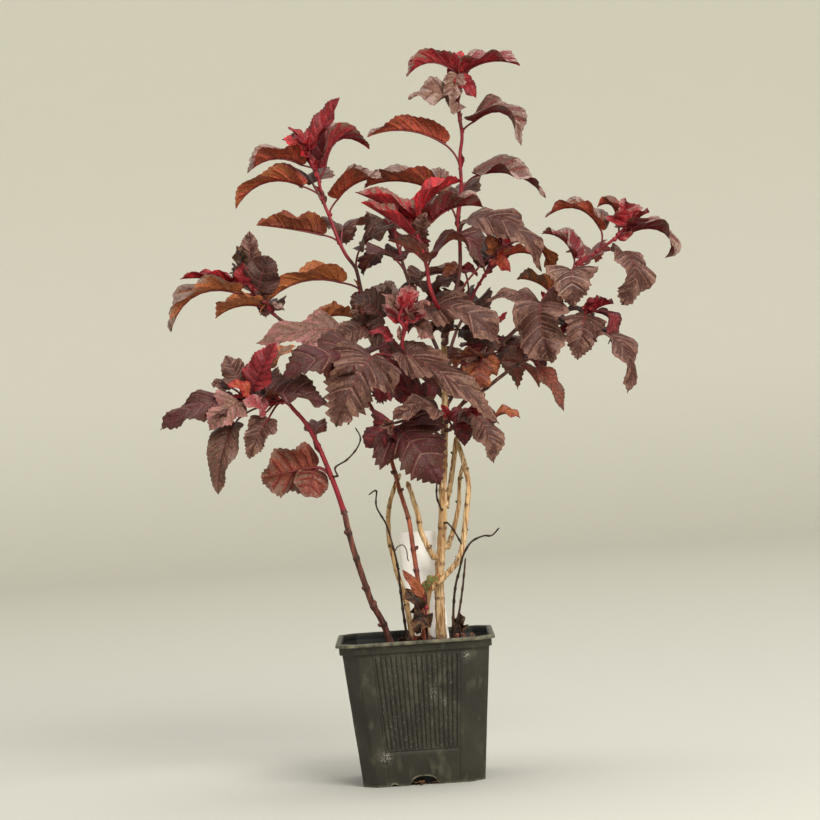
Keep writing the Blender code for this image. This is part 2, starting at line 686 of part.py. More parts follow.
mass("front_shoot", [(29.5, 246, 1), (30, 253, -6), (30, 259, -14), (26, 267, -28), (24, 272, -34), (22, 280, -36),
                     (21, 291, -37), (19, 302, -38), (17, 309, -38), (18, 316, -38)], (1.3, 1.0), [
    leaf((17, 314), (-17, 336), dy=6, arch=2, wide=18, fold=55, lobe=0.4),
    leaf((13, 310), (-14, 331), out=-3, dy=-6, arch=1, wide=15, fold=55, lobe=0.4),
    leaf((26, 316), (57, 322), dy=-4, arch=5, wide=24, fold=45),
    leaf((19, 318), (45, 338), dy=6, arch=5, wide=20, fold=45, lobe=0.5),
    leaf((19, 310), (23, 322), dy=-6, arch=1, wide=12, fold=30, tilt=60, lobe=0.2),
    leaf((19, 295), (0, 307), dy=4, arch=2, wide=17, tilt=-25, fold=30, lobe=0.5),
    leaf((25, 296), (54, 285), dy=-8, arch=17, wide=26, tilt=20, fold=10),
    leaf((18, 266), (61, 242), out=-10, dy=-12, arch=13, wide=36, tilt=40, fold=0),
    leaf((22, 273), (9, 283), out=-2, dy=-8, arch=2, wide=16, tilt=30, fold=20, lobe=0.6),
    leaf((25, 275), (38, 281), out=-4, dy=-4, arch=3, wide=15, tilt=35, fold=20, lobe=0.6),
    leaf((34, 256), (13, 250), out=-14, dy=-6, arch=3, wide=18, tilt=45, fold=15, lobe=0.6),
    leaf((39, 253), (60, 240), out=-12, dy=-4, arch=4, wide=18, tilt=45, fold=0, lobe=0.5),
], RED, meets=["main_stem"])

mass("middle_red_shoot", [(21, 205, 1), (14, 219, -12), (8, 236, -24), (4, 246, -30), (6, 256, -34),
                          (3, 262, -36), (6, 268, -37)], (1.2, 0.9), [
    leaf((5, 263), (3, 281), dy=-4, arch=1, wide=15, tilt=70, fold=20, lobe=0.4),
    leaf((10, 261), (17, 272), dy=-2, arch=1, wide=12, tilt=60, fold=20, lobe=0.4),
    leaf((-1, 249), (-17, 251), dy=-6, arch=5, wide=12, tilt=20, fold=30, lobe=0.3),
    leaf((-14, 241), (-37, 202), out=-14, dy=-10, arch=9, wide=42, tilt=60, fold=0),
    leaf((4, 242), (57, 197), out=-8, dy=-12, arch=8, wide=36, tilt=50, fold=0),
    leaf((-25, 242), (-67, 233), out=-6, dy=-14, arch=6, wide=32, tilt=50, fold=0),
    leaf((2, 233), (-13, 214), out=4, dy=-2, arch=4, wide=26, tilt=70, fold=10),
], DUSK, meets=["main_stem"])

mass("middle_left_leaves", [(-11, 252, 16), (-15, 258, 6), (-17, 262, -4), (-18, 266, -10)], (0.9, 0.8), [
    leaf((-30, 257), (-80, 253), out=-4, dy=-8, arch=5, wide=24, tilt=50, fold=0, lobe=0.4),
    leaf((-6, 263), (-24, 276), out=-2, dy=-8, arch=4, wide=28, tilt=55, fold=5),
    leaf((-8, 268), (2, 283), out=2, dy=4, arch=2, wide=22, tilt=60, fold=10, lobe=0.6),
    leaf((-9, 258), (-36, 250), out=-10, dy=-6, arch=5, wide=26, tilt=55, fold=0, lobe=0.6),
], DUSK, meets=["upper_left_bough"])

mass("front_low_leaves", [(22, 193, -1), (14, 200, -14), (4, 203, -28), (-4, 202, -36)], (1.1, 0.8), [
    leaf((-1, 199), (20, 165), out=-6, dy=-8, arch=6, wide=42, tilt=65, fold=0),
    leaf((-4, 200), (-21, 189), out=-4, dy=-6, arch=4, wide=26, tilt=60, fold=0),
    leaf((-3, 198), (-4, 181), out=-2, dy=-3, arch=3, wide=15, tilt=70, fold=5, lobe=0.5),
    leaf((22, 208), (-5, 203), out=-20, dy=-10, arch=7, wide=20, tilt=40, fold=0, lobe=0.6),
    leaf((15, 210), (-2, 222), out=-6, dy=-6, arch=4, wide=26, tilt=60, fold=5),
], DUSK, meets=["main_stem"])

mass("front_right_leaves", [(28.5, 196, -1), (34, 202, -14), (40, 206, -26)], (1.0, 0.7), [
    leaf((36, 207), (36, 186), out=-2, dy=-5, arch=4, wide=16, tilt=70, fold=10, lobe=0.5),
    leaf((40, 206), (52, 175), out=-4, dy=-8, arch=7, wide=24, tilt=60, turn=30, fold=0, lobe=0.7),
    leaf((27, 204), (24, 211), out=-10, dy=-3, arch=1, wide=6, tilt=60, fold=20, lobe=0.2),
    leaf((55, 202), (69, 200), out=-2, dy=-4, arch=3, wide=11, tilt=30, fold=20, lobe=0.2),
], DUSK, meets=["main_stem", "right_low_bough"])

mass("dry_curled_leaves", [(47, 234, -3), (48, 237, -9)], (0.7, 0.6), [
    leaf((48, 236), (32, 229), out=-2, dy=-3, arch=6, wide=13, tilt=30, fold=20, lobe=0.4),
    leaf((48, 234), (46, 216), out=-6, dy=-5, arch=6, wide=18, tilt=70, fold=-20, lobe=0.5),
    leaf((52, 235), (57, 225), out=2, dy=-3, arch=5, wide=10, tilt=60, fold=10, lobe=0.3),
], (0.25, 0.09, 0.03), meets=["right_high_bough"])

mass("middle_right_shoot", [(31, 241, 12), (36, 253, 24), (42, 263, 34), (47, 273, 40), (53, 282, 43),
                            (60, 291, 44), (64, 297, 44)], (1.0, 0.8), [
    leaf((64, 291), (84, 292), dy=-6, arch=4, wide=14, fold=40, lobe=0.4),
    leaf((66, 297), (81, 303), dy=4, arch=2, wide=14, fold=40, lobe=0.4),
    leaf((61, 296), (57, 307), dy=-4, arch=1, wide=11, tilt=60, fold=20, lobe=0.3),
    leaf((66, 301), (47, 311), dy=-6, arch=4, wide=20, tilt=30, fold=20, lobe=0.6),
    leaf((60, 292), (69, 284), dy=-6, arch=2, wide=10, tilt=60, fold=20, lobe=0.2),
    leaf((39, 290), (31, 281), out=-6, dy=-6, arch=2, wide=11, tilt=30, fold=20, lobe=0.3),
    leaf((40, 287), (50, 283), out=-6, dy=-4, arch=2, wide=11, tilt=30, fold=20, lobe=0.3),
    leaf((44, 262), (34, 266), out=14, dy=34, arch=8, wide=30, fold=20),
    leaf((57, 290), (66, 296), out=12, dy=36, arch=10, wide=28, fold=20),
], RED, meets=["main_stem", "right_high_bough"])

mass("right_shoot", [(97, 275, 0), (104, 281.5, 0), (110, 287, 0), (118, 291.5, 0), (125, 296, 0),
                     (131, 300, 0), (137, 306, 0)], (0.95, 0.9), [
    leaf((122, 306), (91, 314), dy=8, arch=9, wide=17, fold=35, lobe=0.6),
    leaf((139, 302), (158, 286), dy=-6, arch=12, wide=18, fold=30, curl=0.45, lobe=0.5),
    leaf((137, 306), (139, 321), dy=-4, arch=-1, wide=20, fold=30, tilt=50, lobe=0.6),
    leaf((140, 305), (151, 313), dy=6, arch=2, wide=14, fold=40, lobe=0.4),
    leaf((132, 312), (121, 318), dy=4, arch=5, wide=12, fold=40, lobe=0.3),
    leaf((133, 291), (131, 261), out=-8, dy=-10, arch=12, wide=26, tilt=60, turn=50, fold=5, lobe=0.7),
    leaf((106, 290), (88, 305), dy=10, arch=5, wide=16, fold=35, lobe=0.6),
    leaf((104, 283), (103, 261), out=-12, dy=-12, arch=8, wide=30, tilt=65, fold=0),
    leaf((91, 271), (72, 280), out=10, dy=8, arch=3, wide=18, tilt=-20, fold=35, lobe=0.6),
    leaf((97, 273), (92, 262), out=6, dy=4, arch=2, wide=11, tilt=60, fold=10, lobe=0.3),
    leaf((85, 265), (90, 226), out=-20, dy=-8, arch=7, wide=36, tilt=70, fold=0, lobe=0.8),
    leaf((115, 288), (120, 290), out=14, dy=38, arch=9, wide=26, fold=25),
], DUSK, meets=["right_high_bough"])

mass("bough_leaf", [(90, 266.5, -3), (89, 266, -7)], (0.7, 0.6), [
    leaf((84, 265), (53, 268), dy=-6, arch=6, wide=13, tilt=40, fold=0, lobe=0.4),
], DUSK, meets=["right_high_bough"])

mass("right_low_shoot", [(78, 235, -9), (90, 243, -9), (101, 252, -10), (112, 259, -12)], (0.9, 0.8), [
    leaf((113, 257), (127, 262), dy=-6, arch=2, wide=13, fold=40, lobe=0.4),
    leaf((112, 258), (119, 267), dy=6, arch=1, wide=10, fold=30, lobe=0.3),
    leaf((110, 256), (104, 231), out=-6, dy=-8, arch=6, wide=24, tilt=65, fold=0, lobe=0.7),
    leaf((111, 257), (99, 260), dy=8, arch=2, wide=12, tilt=20, fold=20, lobe=0.4),
    leaf((119, 257), (123, 240), dy=-4, arch=9, wide=11, tilt=30, turn=80, fold=20, lobe=0.3),
    leaf((114, 247), (131, 210), out=-4, dy=-10, arch=13, wide=24, tilt=50, turn=50, fold=0),
    leaf((82, 228), (94, 202), out=-4, dy=-8, arch=4, wide=16, tilt=60, turn=20, fold=10, lobe=0.5),
    leaf((100, 250), (112, 236), out=10, dy=30, arch=9, wide=24, fold=20),
], DUSK, meets=["right_low_bough"])

mass("left_shoot", [(-57, 261, 10), (-63, 264.5, 10), (-69, 270, 9), (-73, 275.5, 8), (-77, 281, 8),
                    (-79, 286, 8)], (1.0, 0.8), [
    leaf((-92, 289), (-121, 293), dy=-6, arch=2, wide=12, fold=40, lobe=0.3),
    leaf((-89, 283), (-128, 263), dy=-8, arch=11, wide=24, fold=35, lobe=0.6),
    leaf((-75, 274), (-102, 269), dy=10, arch=4, wide=22, fold=40),
    leaf((-80, 300), (-79, 318), dy=2, arch=0, wide=14, tilt=75, fold=15, lobe=0.3),
    leaf((-84, 298), (-87, 310), dy=-4, arch=1, wide=9, tilt=60, fold=20, lobe=0.2),
    leaf((-85, 288), (-84, 300), dy=-5, arch=0, wide=12, tilt=75, fold=15, lobe=0.2),
    leaf((-77, 283), (-72, 303), dy=-5, arch=1, wide=20, tilt=75, fold=5, lobe=0.4),
    leaf((-71, 273), (-62, 271), dy=-6, arch=1, wide=9, tilt=10, fold=30, lobe=0.4),
    leaf((-40, 265), (-23, 264), out=2, dy=10, arch=2, wide=18, tilt=-10, fold=45, lobe=0.6),
    leaf((-68, 271), (-64, 262), out=14, dy=38, arch=10, wide=28, fold=20),
    leaf((-78, 286), (-88, 284), out=14, dy=34, arch=9, wide=24, fold=25),
], DUSK, meets=["red_brown_stem"])

mass("lower_left_shoot", [(-35.6, 152.2, -30), (-39, 165, -31), (-43, 178, -32), (-48, 192, -33),
                          (-54, 205, -34), (-60, 213, -35), (-65, 218.5, -36), (-72, 218, -37),
                          (-80, 218, -38), (-86, 222, -38)], (1.7, 1.3), [
    leaf((-75, 222), (-42, 216), dy=-8, arch=2, wide=28, tilt=30, fold=35, lobe=0.6),
    leaf((-95, 220), (-138, 207), dy=-8, arch=7, wide=26, tilt=40, fold=-5, lobe=0.6),
    leaf((-92, 220), (-110, 205), out=-6, dy=-6, arch=4, wide=22, tilt=60, fold=0),
    leaf((-96, 207), (-107, 169), out=2, dy=-6, arch=6, wide=24, tilt=60, turn=-20, fold=0, lobe=0.5),
    leaf((-75, 209), (-89, 189), out=-5, dy=-6, arch=5, wide=24, tilt=60, fold=0, lobe=0.6),
    leaf((-90, 231), (-98, 247), out=2, dy=6, arch=2, wide=17, tilt=60, fold=10, lobe=0.5),
    leaf((-96, 229), (-107, 232), out=4, dy=4, arch=1, wide=11, tilt=50, fold=10, lobe=0.3),
    leaf((-83, 228), (-69, 253), dy=-4, arch=1, wide=18, tilt=50, fold=20, lobe=0.4),
    leaf((-86, 225), (-98, 231), out=-4, dy=-4, arch=2, wide=10, tilt=50, fold=20, lobe=0.3),
    leaf((-78, 214), (-90, 221), out=-8, dy=-5, arch=2, wide=13, tilt=50, fold=20, lobe=0.3),
    leaf((-50, 180), (-82, 176), dy=-8, arch=1, wide=36, tilt=-60, fold=0),
    leaf((-51, 178), (-56, 163), dy=-5, arch=1, wide=20, tilt=-70, fold=0, lobe=0.4),
    leaf((-80, 222), (-72, 226), out=12, dy=32, arch=9, wide=26, fold=20),
    leaf((-50, 196), (-56, 203), out=12, dy=36, arch=10, wide=26, fold=20),
], DUSK, meets=["lower_left_stem"])

limb("curly_twig", [(-38, 174, -35), (-39, 179, -38), (-32, 183, -38), (-26, 189, -36),
                    (-23.5, 195, -34), (-26, 201, -30)],
     (0.5, 0.4), 4, 2, DRY_BARK, meets=["lower_left_shoot"])

BACK_LEAVES = 5
BACK_FAN = 38.0
BACK_LEAF_LENGTH = 44.0


def back_leaves(seed, first_hand, spots):
    """Leaves of a shoot that the front hides: they stand to its left (first_hand 1) and right by
    turns, fan out to the back, grow smaller towards its tip, arch over and hang down, and are
    shaken a little."""
    shake = random.Random(seed)
    found = []
    for k in range(BACK_LEAVES):
        part = (k + 1) / BACK_LEAVES
        place = part * (len(spots) - 1)
        i = min(int(place), len(spots) - 2)
        x, z, y = (spots[i][n] + (spots[i + 1][n] - spots[i][n]) * (place - i) for n in range(3))
        hand = -first_hand if k % 2 else first_hand
        angle = math.radians(90 + hand * BACK_FAN * (1.5 - part) + shake.uniform(-8, 8))
        long = BACK_LEAF_LENGTH * (1.1 - 0.35 * part) + shake.uniform(-3, 3)
        away = PETIOLE * 0.9
        base = (x + math.cos(angle) * away, z + 4)
        tip = (x + math.cos(angle) * (away + long * 0.85), z + 4 - long * shake.uniform(0.1, 0.4))
        found.append(leaf(base, tip, out=math.sin(angle) * away, dy=math.sin(angle) * long * 0.85,
                          arch=long * 0.22, wide=long * 0.66, fold=15))
    return found


for name, seed, hand, spots in (
    ("back_left_shoot", 1, 1, [(26, 196, 6), (14, 206, 32), (-4, 220, 54), (-18, 233, 68), (-25, 246, 76)]),
    ("back_right_shoot", 3, -1, [(27, 210, 6), (36, 222, 28), (48, 234, 48), (56, 246, 62), (60, 256, 72)]),
    ("back_middle_shoot", 6, 1, [(26.5, 236, 6), (20, 254, 30), (12, 276, 46), (7, 296, 54), (4, 312, 58)]),
):
    mass(name, spots, (1.2, 0.9), back_leaves(seed, hand, spots[1:]), DUSK, meets=["main_stem"])

mass("foot_leaves", [(8, UNDER_GROUND, -26), (7, 86, -28), (8, 99, -26), (7, 108, -25)], (0.7, 0.5), [
    leaf((7, 108), (15, 114), dy=-3, arch=1, wide=9, tilt=30, fold=20, lobe=0.2),
    leaf((6, 104), (-4, 118), dy=-3, arch=1, wide=10, tilt=60, fold=10, lobe=0.2),
    leaf((4, 94), (-4, 107), dy=-3, arch=2, wide=10, tilt=60, fold=20, lobe=0.3),
    leaf((6, 90), (1, 80), dy=-4, arch=3, wide=13, tilt=60, fold=20, lobe=0.6),
], (0.12, 0.06, 0.03))
mass("foot_leaf_right", [(25, UNDER_GROUND, -14), (26, 78, -15), (26, 84, -16)], (0.6, 0.5), [
    leaf((26, 82), (27, 91), dy=-3, arch=1, wide=8, tilt=60, fold=20, lobe=0.5),
], (0.08, 0.04, 0.03))
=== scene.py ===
"""The potted ninebark's looks: each CAD piece is built again in its full shape, in the order that
the plant is put together: pot, soil, label, old stems, last year's stems, dry twigs, shoots, floor.

Sizes are in millimetres; every mesh is written out in metres. The origin is the centre of the pot's
flat underside, +Z is up and -Y is the front."""

import math
import random

import bmesh
import bpy
import numpy as np
from mathutils import Matrix, Vector, noise


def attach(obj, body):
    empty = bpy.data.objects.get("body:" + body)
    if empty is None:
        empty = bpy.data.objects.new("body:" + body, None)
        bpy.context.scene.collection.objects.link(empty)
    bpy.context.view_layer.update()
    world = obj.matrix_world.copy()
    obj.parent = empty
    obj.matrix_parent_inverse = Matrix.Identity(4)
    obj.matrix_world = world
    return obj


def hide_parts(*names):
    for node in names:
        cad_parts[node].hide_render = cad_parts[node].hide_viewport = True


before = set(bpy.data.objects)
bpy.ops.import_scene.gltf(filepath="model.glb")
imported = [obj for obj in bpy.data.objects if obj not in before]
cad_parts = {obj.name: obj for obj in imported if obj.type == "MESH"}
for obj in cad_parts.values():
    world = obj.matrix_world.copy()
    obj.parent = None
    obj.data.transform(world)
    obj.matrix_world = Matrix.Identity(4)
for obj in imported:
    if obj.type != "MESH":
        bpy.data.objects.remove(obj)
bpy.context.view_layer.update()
MM = 0.001


# The pot is one injection-moulded piece of black plastic with a lip, a collar, a panel of fine
# grooves on each side, cut corners and a drainage notch in the foot of each side. It is scuffed,
# and lime from the water has dried in streaks on the grooved panels. Its inside, underside and
# grooves are painted darker as shade, and its rim paler as a painted highlight.
POT_HEIGHT = 82.0
RIM_HALF = 45.0
LIP_THICK = 2.0
COLLAR_HALF = 43.0
COLLAR_HEIGHT = 4.3
BODY_WIDTH_TOP = 83.0
BODY_WIDTH_FOOT = 69.0
POT_WALL = 1.2
CORNER_CUT = 8.0
INNER_CORNER_CUT = 7.4
GROOVES = 17
PANEL_SHARE = 0.69
GROOVE_SHARE = 0.36
GROOVE_DEPTH = 0.5
PANEL_FOOT = 20.0
PANEL_TOP = 73.5
MOULD_LINE = 0.745
MOULD_LINE_DEPTH = 0.22
NOTCH_HALF = 7.5
NOTCH_HEIGHT = 5.0
NOTCH_REACH = 7.0
CHIP = (-17.0, 2.5, 1.3)
SCUFFS = ((8.5, 53.0, 1.7), (-21.0, 17.0, 2.0), (28.0, 72.0, 1.2), (14.0, 47.0, 0.9))
LOW_PART = 18.0


def tone(red, green, blue):
    """A screen colour, given from 0 to 255, as the renderer's linear colour."""
    return (*[(part / 255 / 12.92) if part / 255 <= 0.04045 else ((part / 255 + 0.055) / 1.055) ** 2.4
              for part in (red, green, blue)], 1.0)


def weathered(name, base, layers, roughness, bump=(400.0, 0.1), shine=0.5):
    """A material whose layers lay further colours over the base where their noise is high and, if
    they name an attribute, where that is high too; bump is its noise's scale and strength."""
    material = bpy.data.materials.new(name)
    material.use_nodes = True
    tree = material.node_tree
    shader = tree.nodes["Principled BSDF"]
    shader.inputs["Base Color"].default_value = base
    shader.inputs["Roughness"].default_value = roughness
    shader.inputs["Specular IOR Level"].default_value = shine
    place = tree.nodes.new("ShaderNodeTexCoord").outputs["Object"]
    colour = None
    for tint, scale, stretch, start, end, where in layers:
        mapping = tree.nodes.new("ShaderNodeMapping")
        mapping.inputs["Scale"].default_value = stretch
        tree.links.new(place, mapping.inputs["Vector"])
        cloud = tree.nodes.new("ShaderNodeTexNoise")
        cloud.inputs["Scale"].default_value = scale
        cloud.inputs["Detail"].default_value = 4.0
        tree.links.new(mapping.outputs["Vector"], cloud.inputs["Vector"])
        share = tree.nodes.new("ShaderNodeMapRange")
        share.inputs["From Min"].default_value = start
        share.inputs["From Max"].default_value = end
        tree.links.new(cloud.outputs["Fac"], share.inputs["Value"])
        amount = share.outputs["Result"]
        if where:
            found = tree.nodes.new("ShaderNodeAttribute")
            found.attribute_name = where
            product = tree.nodes.new("ShaderNodeMath")
            product.operation = "MULTIPLY"
            tree.links.new(amount, product.inputs[0])
            tree.links.new(found.outputs["Fac"], product.inputs[1])
            amount = product.outputs["Value"]
        mix = tree.nodes.new("ShaderNodeMixRGB")
        mix.inputs["Color1"].default_value = base
        mix.inputs["Color2"].default_value = tint
        if colour:
            tree.links.new(colour, mix.inputs["Color1"])
        tree.links.new(amount, mix.inputs["Fac"])
        colour = mix.outputs["Color"]
    if colour:
        tree.links.new(colour, shader.inputs["Base Color"])
    grain = tree.nodes.new("ShaderNodeTexNoise")
    grain.inputs["Scale"].default_value = bump[0]
    grain.inputs["Detail"].default_value = 4.0
    tree.links.new(place, grain.inputs["Vector"])
    relief = tree.nodes.new("ShaderNodeBump")
    relief.inputs["Strength"].default_value = bump[1]
    relief.inputs["Distance"].default_value = 0.0005
    tree.links.new(grain.outputs["Fac"], relief.inputs["Height"])
    tree.links.new(relief.outputs["Normal"], shader.inputs["Normal"])
    return material


def new_piece(name, places, faces, material, marks=None):
    """A smooth-shaded object at the origin from places in millimetres, with number attributes."""
    mesh = bpy.data.meshes.new(name)
    mesh.from_pydata(np.asarray(places) * MM, [], faces)
    for mark, values in (marks or {}).items():
        layer = mesh.attributes.new(mark, "FLOAT", "POINT")
        layer.data.foreach_set("value", np.asarray(values, dtype=np.float32))
    mesh.materials.append(material)
    mesh.shade_smooth()
    thing = bpy.data.objects.new(name, mesh)
    bpy.context.scene.collection.objects.link(thing)
    return thing


def stands_for(thing, slot, *nodes):
    """The piece goes with the plant and stands for the CAD nodes, which are hidden; slot is not used."""
    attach(thing, "root")
    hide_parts(*nodes)


def body_half(z):
    """Half the pot's outer width at height z."""
    under = POT_HEIGHT - LIP_THICK - COLLAR_HEIGHT
    return (BODY_WIDTH_FOOT + (BODY_WIDTH_TOP - BODY_WIDTH_FOOT) * z / under) / 2


def ease(low, high, value):
    share = min(max((value - low) / (high - low), 0.0), 1.0)
    return share * share * (3 - 2 * share)


def build_pot():
    stops = []
    pitch = 2 * PANEL_SHARE / (GROOVES - 1)
    half_groove = pitch * GROOVE_SHARE / 2
    for k in range(GROOVES):
        middle = -PANEL_SHARE + k * pitch
        for step, deep in ((-1.2, 0), (-0.95, 0.12), (-0.5, 0.95), (0, 1), (0.5, 0.95), (0.95, 0.12),
                           (1.2, 0)):
            stops.append((middle + step * half_groove, deep, 0))
    for hand in (-1, 1):
        for step, deep in ((-0.012, 0), (-0.004, 1), (0.004, 1), (0.012, 0)):
            stops.append((hand * MOULD_LINE + step, 0, deep))
        for place in (0.80, 0.86, 0.92, 0.965, 0.987):
            stops.append((hand * place, 0, 0))
    stops.sort()
    columns = []
    for turn in range(4):
        spin = Matrix.Rotation(math.pi / 2 * turn, 3, "Z")
        for share, groove, line in stops:
            columns.append((spin, turn, share, 0, groove, line))
        for cut in (0.07, 0.25, 0.5, 0.75, 0.93):
            columns.append((spin, turn, 1, cut, 0, 0))

    collar_z = POT_HEIGHT - LIP_THICK - COLLAR_HEIGHT
    lip_z = POT_HEIGHT - LIP_THICK
    body_rows = [0.12, 0.35, 0.8, 1.6, 2.6, 3.8, 5.2, 7, 10, 13.5, 17, 18.9, 19.3, 19.6, 20.0, 20.3, 20.7,
                 21.4, 26, 31, 36, 41, 46, 51, 56, 61, 66, 70, 72.2, 72.9, 73.4, 73.8, 74.5, collar_z - 0.15]
    rows = [(0.0, body_half(0) - 0.3)] + [(z, body_half(z)) for z in body_rows]
    rows += [(collar_z, body_half(collar_z) + 0.15), (collar_z, COLLAR_HALF - 0.35),
             (collar_z + 0.12, COLLAR_HALF - 0.1), (collar_z + 0.4, COLLAR_HALF),
             (lip_z - 0.3, COLLAR_HALF + 0.05), (lip_z, COLLAR_HALF + 0.3), (lip_z, RIM_HALF - 0.4),
             (lip_z + 0.12, RIM_HALF - 0.1), (lip_z + 0.4, RIM_HALF), (POT_HEIGHT - 0.6, RIM_HALF),
             (POT_HEIGHT - 0.2, RIM_HALF - 0.15), (POT_HEIGHT, RIM_HALF - 0.55),
             (POT_HEIGHT, COLLAR_HALF - POT_WALL + 0.5), (POT_HEIGHT - 0.15, COLLAR_HALF - POT_WALL + 0.12),
             (POT_HEIGHT - 0.6, COLLAR_HALF - POT_WALL)]
    outer = len(rows)
    rows += [(lip_z - 1, COLLAR_HALF - POT_WALL - 0.1), (collar_z + 0.3, COLLAR_HALF - POT_WALL - 0.3),
             (collar_z - 0.3, body_half(collar_z) - POT_WALL)]
    rows += [(z, body_half(z) - POT_WALL) for z in (70, 55, 35, 15, POT_WALL)]

    places = []
    panel = []
    wear_and_rim_highlight = []
    dark = []
    scuffed = []
    for number, (z, half) in enumerate(rows):
        inside = number >= outer
        corner = INNER_CORNER_CUT if inside else CORNER_CUT
        flat = half - corner
        window = ease(PANEL_FOOT - 0.2, PANEL_FOOT + 0.9, z) * (1 - ease(PANEL_TOP - 0.5, PANEL_TOP + 0.3, z))
        foot_line = math.exp(-((z - PANEL_FOOT + 0.4) / 0.45) ** 2)
        for spin, turn, share, cut, groove, line in columns:
            across = share * flat
            inward = 0.0
            if not inside and z < lip_z - 0.1:
                inward = line * MOULD_LINE_DEPTH
                if z < collar_z - 0.05:
                    inward += groove * GROOVE_DEPTH * window
                    if abs(share) < PANEL_SHARE + 0.02:
                        inward = max(inward, foot_line * 0.4)
                    if not cut:
                        inward += 0.12 * math.sin(math.pi * z / collar_z) * (1 - share * share)
            lift = 0.0
            if not cut and z < LOW_PART and not inside:
                arch = max(1 - (abs(across) / NOTCH_HALF) ** 2.6, 0.0) ** 0.45 * NOTCH_HEIGHT
                if turn == 0:
                    middle, wide, high = CHIP
                    arch = max(arch, max(1 - ((across - middle) / wide) ** 2, 0.0) * high)
                lift = arch * (1 - z / LOW_PART)
            if cut:
                place = Vector((flat + cut * corner, -half + cut * corner, z))
            else:
                place = Vector((across, -half + inward, z + lift))
            shake = noise.noise(place * 0.12 + Vector((turn * 9, 0, 0)))
            place.y += 0.12 * shake if not inside and z > 1 and z < collar_z - 1 else 0
            places.append(spin @ place)
            panel.append(float(not cut and abs(share) < PANEL_SHARE and window > 0))
            # The foot edge shows real wear, most where the notch lifts it. The rim's share is a painted highlight
            # on the lip.
            edge = 1 - ease(0.0, 1.4, z)
            rim = 1.0 if lip_z < z and half > COLLAR_HALF else 0.0
            wear_and_rim_highlight.append(0.0 if inside else max(edge * (1.0 if lift > 0.3 else 0.4), rim * 0.45))
            # Painted shade: the inside and underside are near black, and the outside is darker the deeper it is
            # pressed in, so the grooves and mould lines darken.
            dark.append(1.0 if inside else min(max(inward - 0.15, 0.0) * 1.7, 0.6))
            near = [math.exp(-((across - x) ** 2 + (z - up) ** 2) / (2 * wide ** 2)) for x, up, wide in SCUFFS]
            scuffed.append(max(near) if turn == 0 and not inside else 0.0)
    count = len(columns)
    faces = []
    for i in range(len(rows) - 1):
        for k in range(count):
            n = (k + 1) % count
            faces.append((i * count + k, i * count + n, (i + 1) * count + n, (i + 1) * count + k))
    under = []
    for reach, level in ((POT_WALL, None), (NOTCH_REACH, 0.35)):
        start = len(places)
        for k, (spin, turn, share, cut, groove, line) in enumerate(columns):
            foot = places[k]
            flat = body_half(0) - 0.3 - CORNER_CUT
            across = share * flat
            half = body_half(0) - 0.3
            if cut:
                place = Vector((flat + cut * CORNER_CUT - reach / 2, -half + cut * CORNER_CUT + reach / 2, 0))
            else:
                place = Vector((across * (1 - reach / half), -half + reach, 0))
            place.z = foot.z if level is None else level
            places.append(spin @ place)
            panel.append(0.0)
            wear_and_rim_highlight.append(0.0)
            # Painted shade on the underside.
            dark.append(0.9)
        under.append(start)
    chain = [0, under[0], under[1]]
    for first, second in zip(chain, chain[1:]):
        for k in range(count):
            n = (k + 1) % count
            faces.append((second + k, second + n, first + n, first + k))
    middle = len(places)
    places += [Vector((0, 0, 0.35)), Vector((0, 0, POT_WALL))]
    panel += [0.0, 0.0]
    wear_and_rim_highlight += [0.0, 0.0]
    dark += [0.9, 0.9]
    top = (len(rows) - 1) * count
    for k in range(count):
        n = (k + 1) % count
        faces.append((under[1] + n, under[1] + k, middle))
        faces.append((top + k, top + n, middle + 1))
    plastic = weathered("pot plastic", tone(41, 38, 30), [
        (tone(56, 53, 43), 30.0, (1, 1, 1), 0.42, 0.75, None),
        (tone(26, 24, 19), 55.0, (1, 1, 0.6), 0.5, 0.8, None),
        (tone(104, 100, 88), 1100.0, (1, 1, 0.6), 0.56, 0.8, "panel"),
        (tone(78, 75, 62), 160.0, (1, 1, 0.5), 0.56, 0.8, None),
        (tone(112, 108, 98), 1300.0, (1, 1, 0.8), 0.68, 0.8, None),
        (tone(170, 166, 154), 1300.0, (1, 1, 1), 0.47, 0.62, "scuff"),
        # painted shade where the deep attribute is high: inside, underside and grooves
        (tone(6, 6, 5), 60.0, (1, 1, 1), 0.0, 0.2, "deep"),
        # real wear at the foot and notch, and a painted highlight on the rim
        (tone(150, 146, 120), 260.0, (1, 1, 1), 0.3, 0.62, "wear_and_rim_highlight"),
    ], 0.55, (900.0, 0.3), 0.35)
    thing = new_piece("pot_shell", places, faces, plastic, {"panel": panel, "wear_and_rim_highlight": wear_and_rim_highlight, "deep": dark,
                                                        "scuff": scuffed + [0.0] * (len(places) - len(scuffed))})
    stands_for(thing, "pot", "pot")


build_pot()


# The soil is dark potting mix with crumbs of bark and peat, pressed into the pot round the stems
# and loose on top.
SOIL_TOP = 70.6
SOIL_ROUNDS = 44
SOIL_COLUMNS = 22
SOIL_ROUGH = 1.5
CRUMB_SPACING = 0.0007


def settled(thing):
    """Turn what the modifiers made into plain mesh and drop the modifiers."""
    graph = bpy.context.evaluated_depsgraph_get()
    mesh = bpy.data.meshes.new_from_object(thing.evaluated_get(graph))
    thing.modifiers.clear()
    thing.data = mesh
    return thing


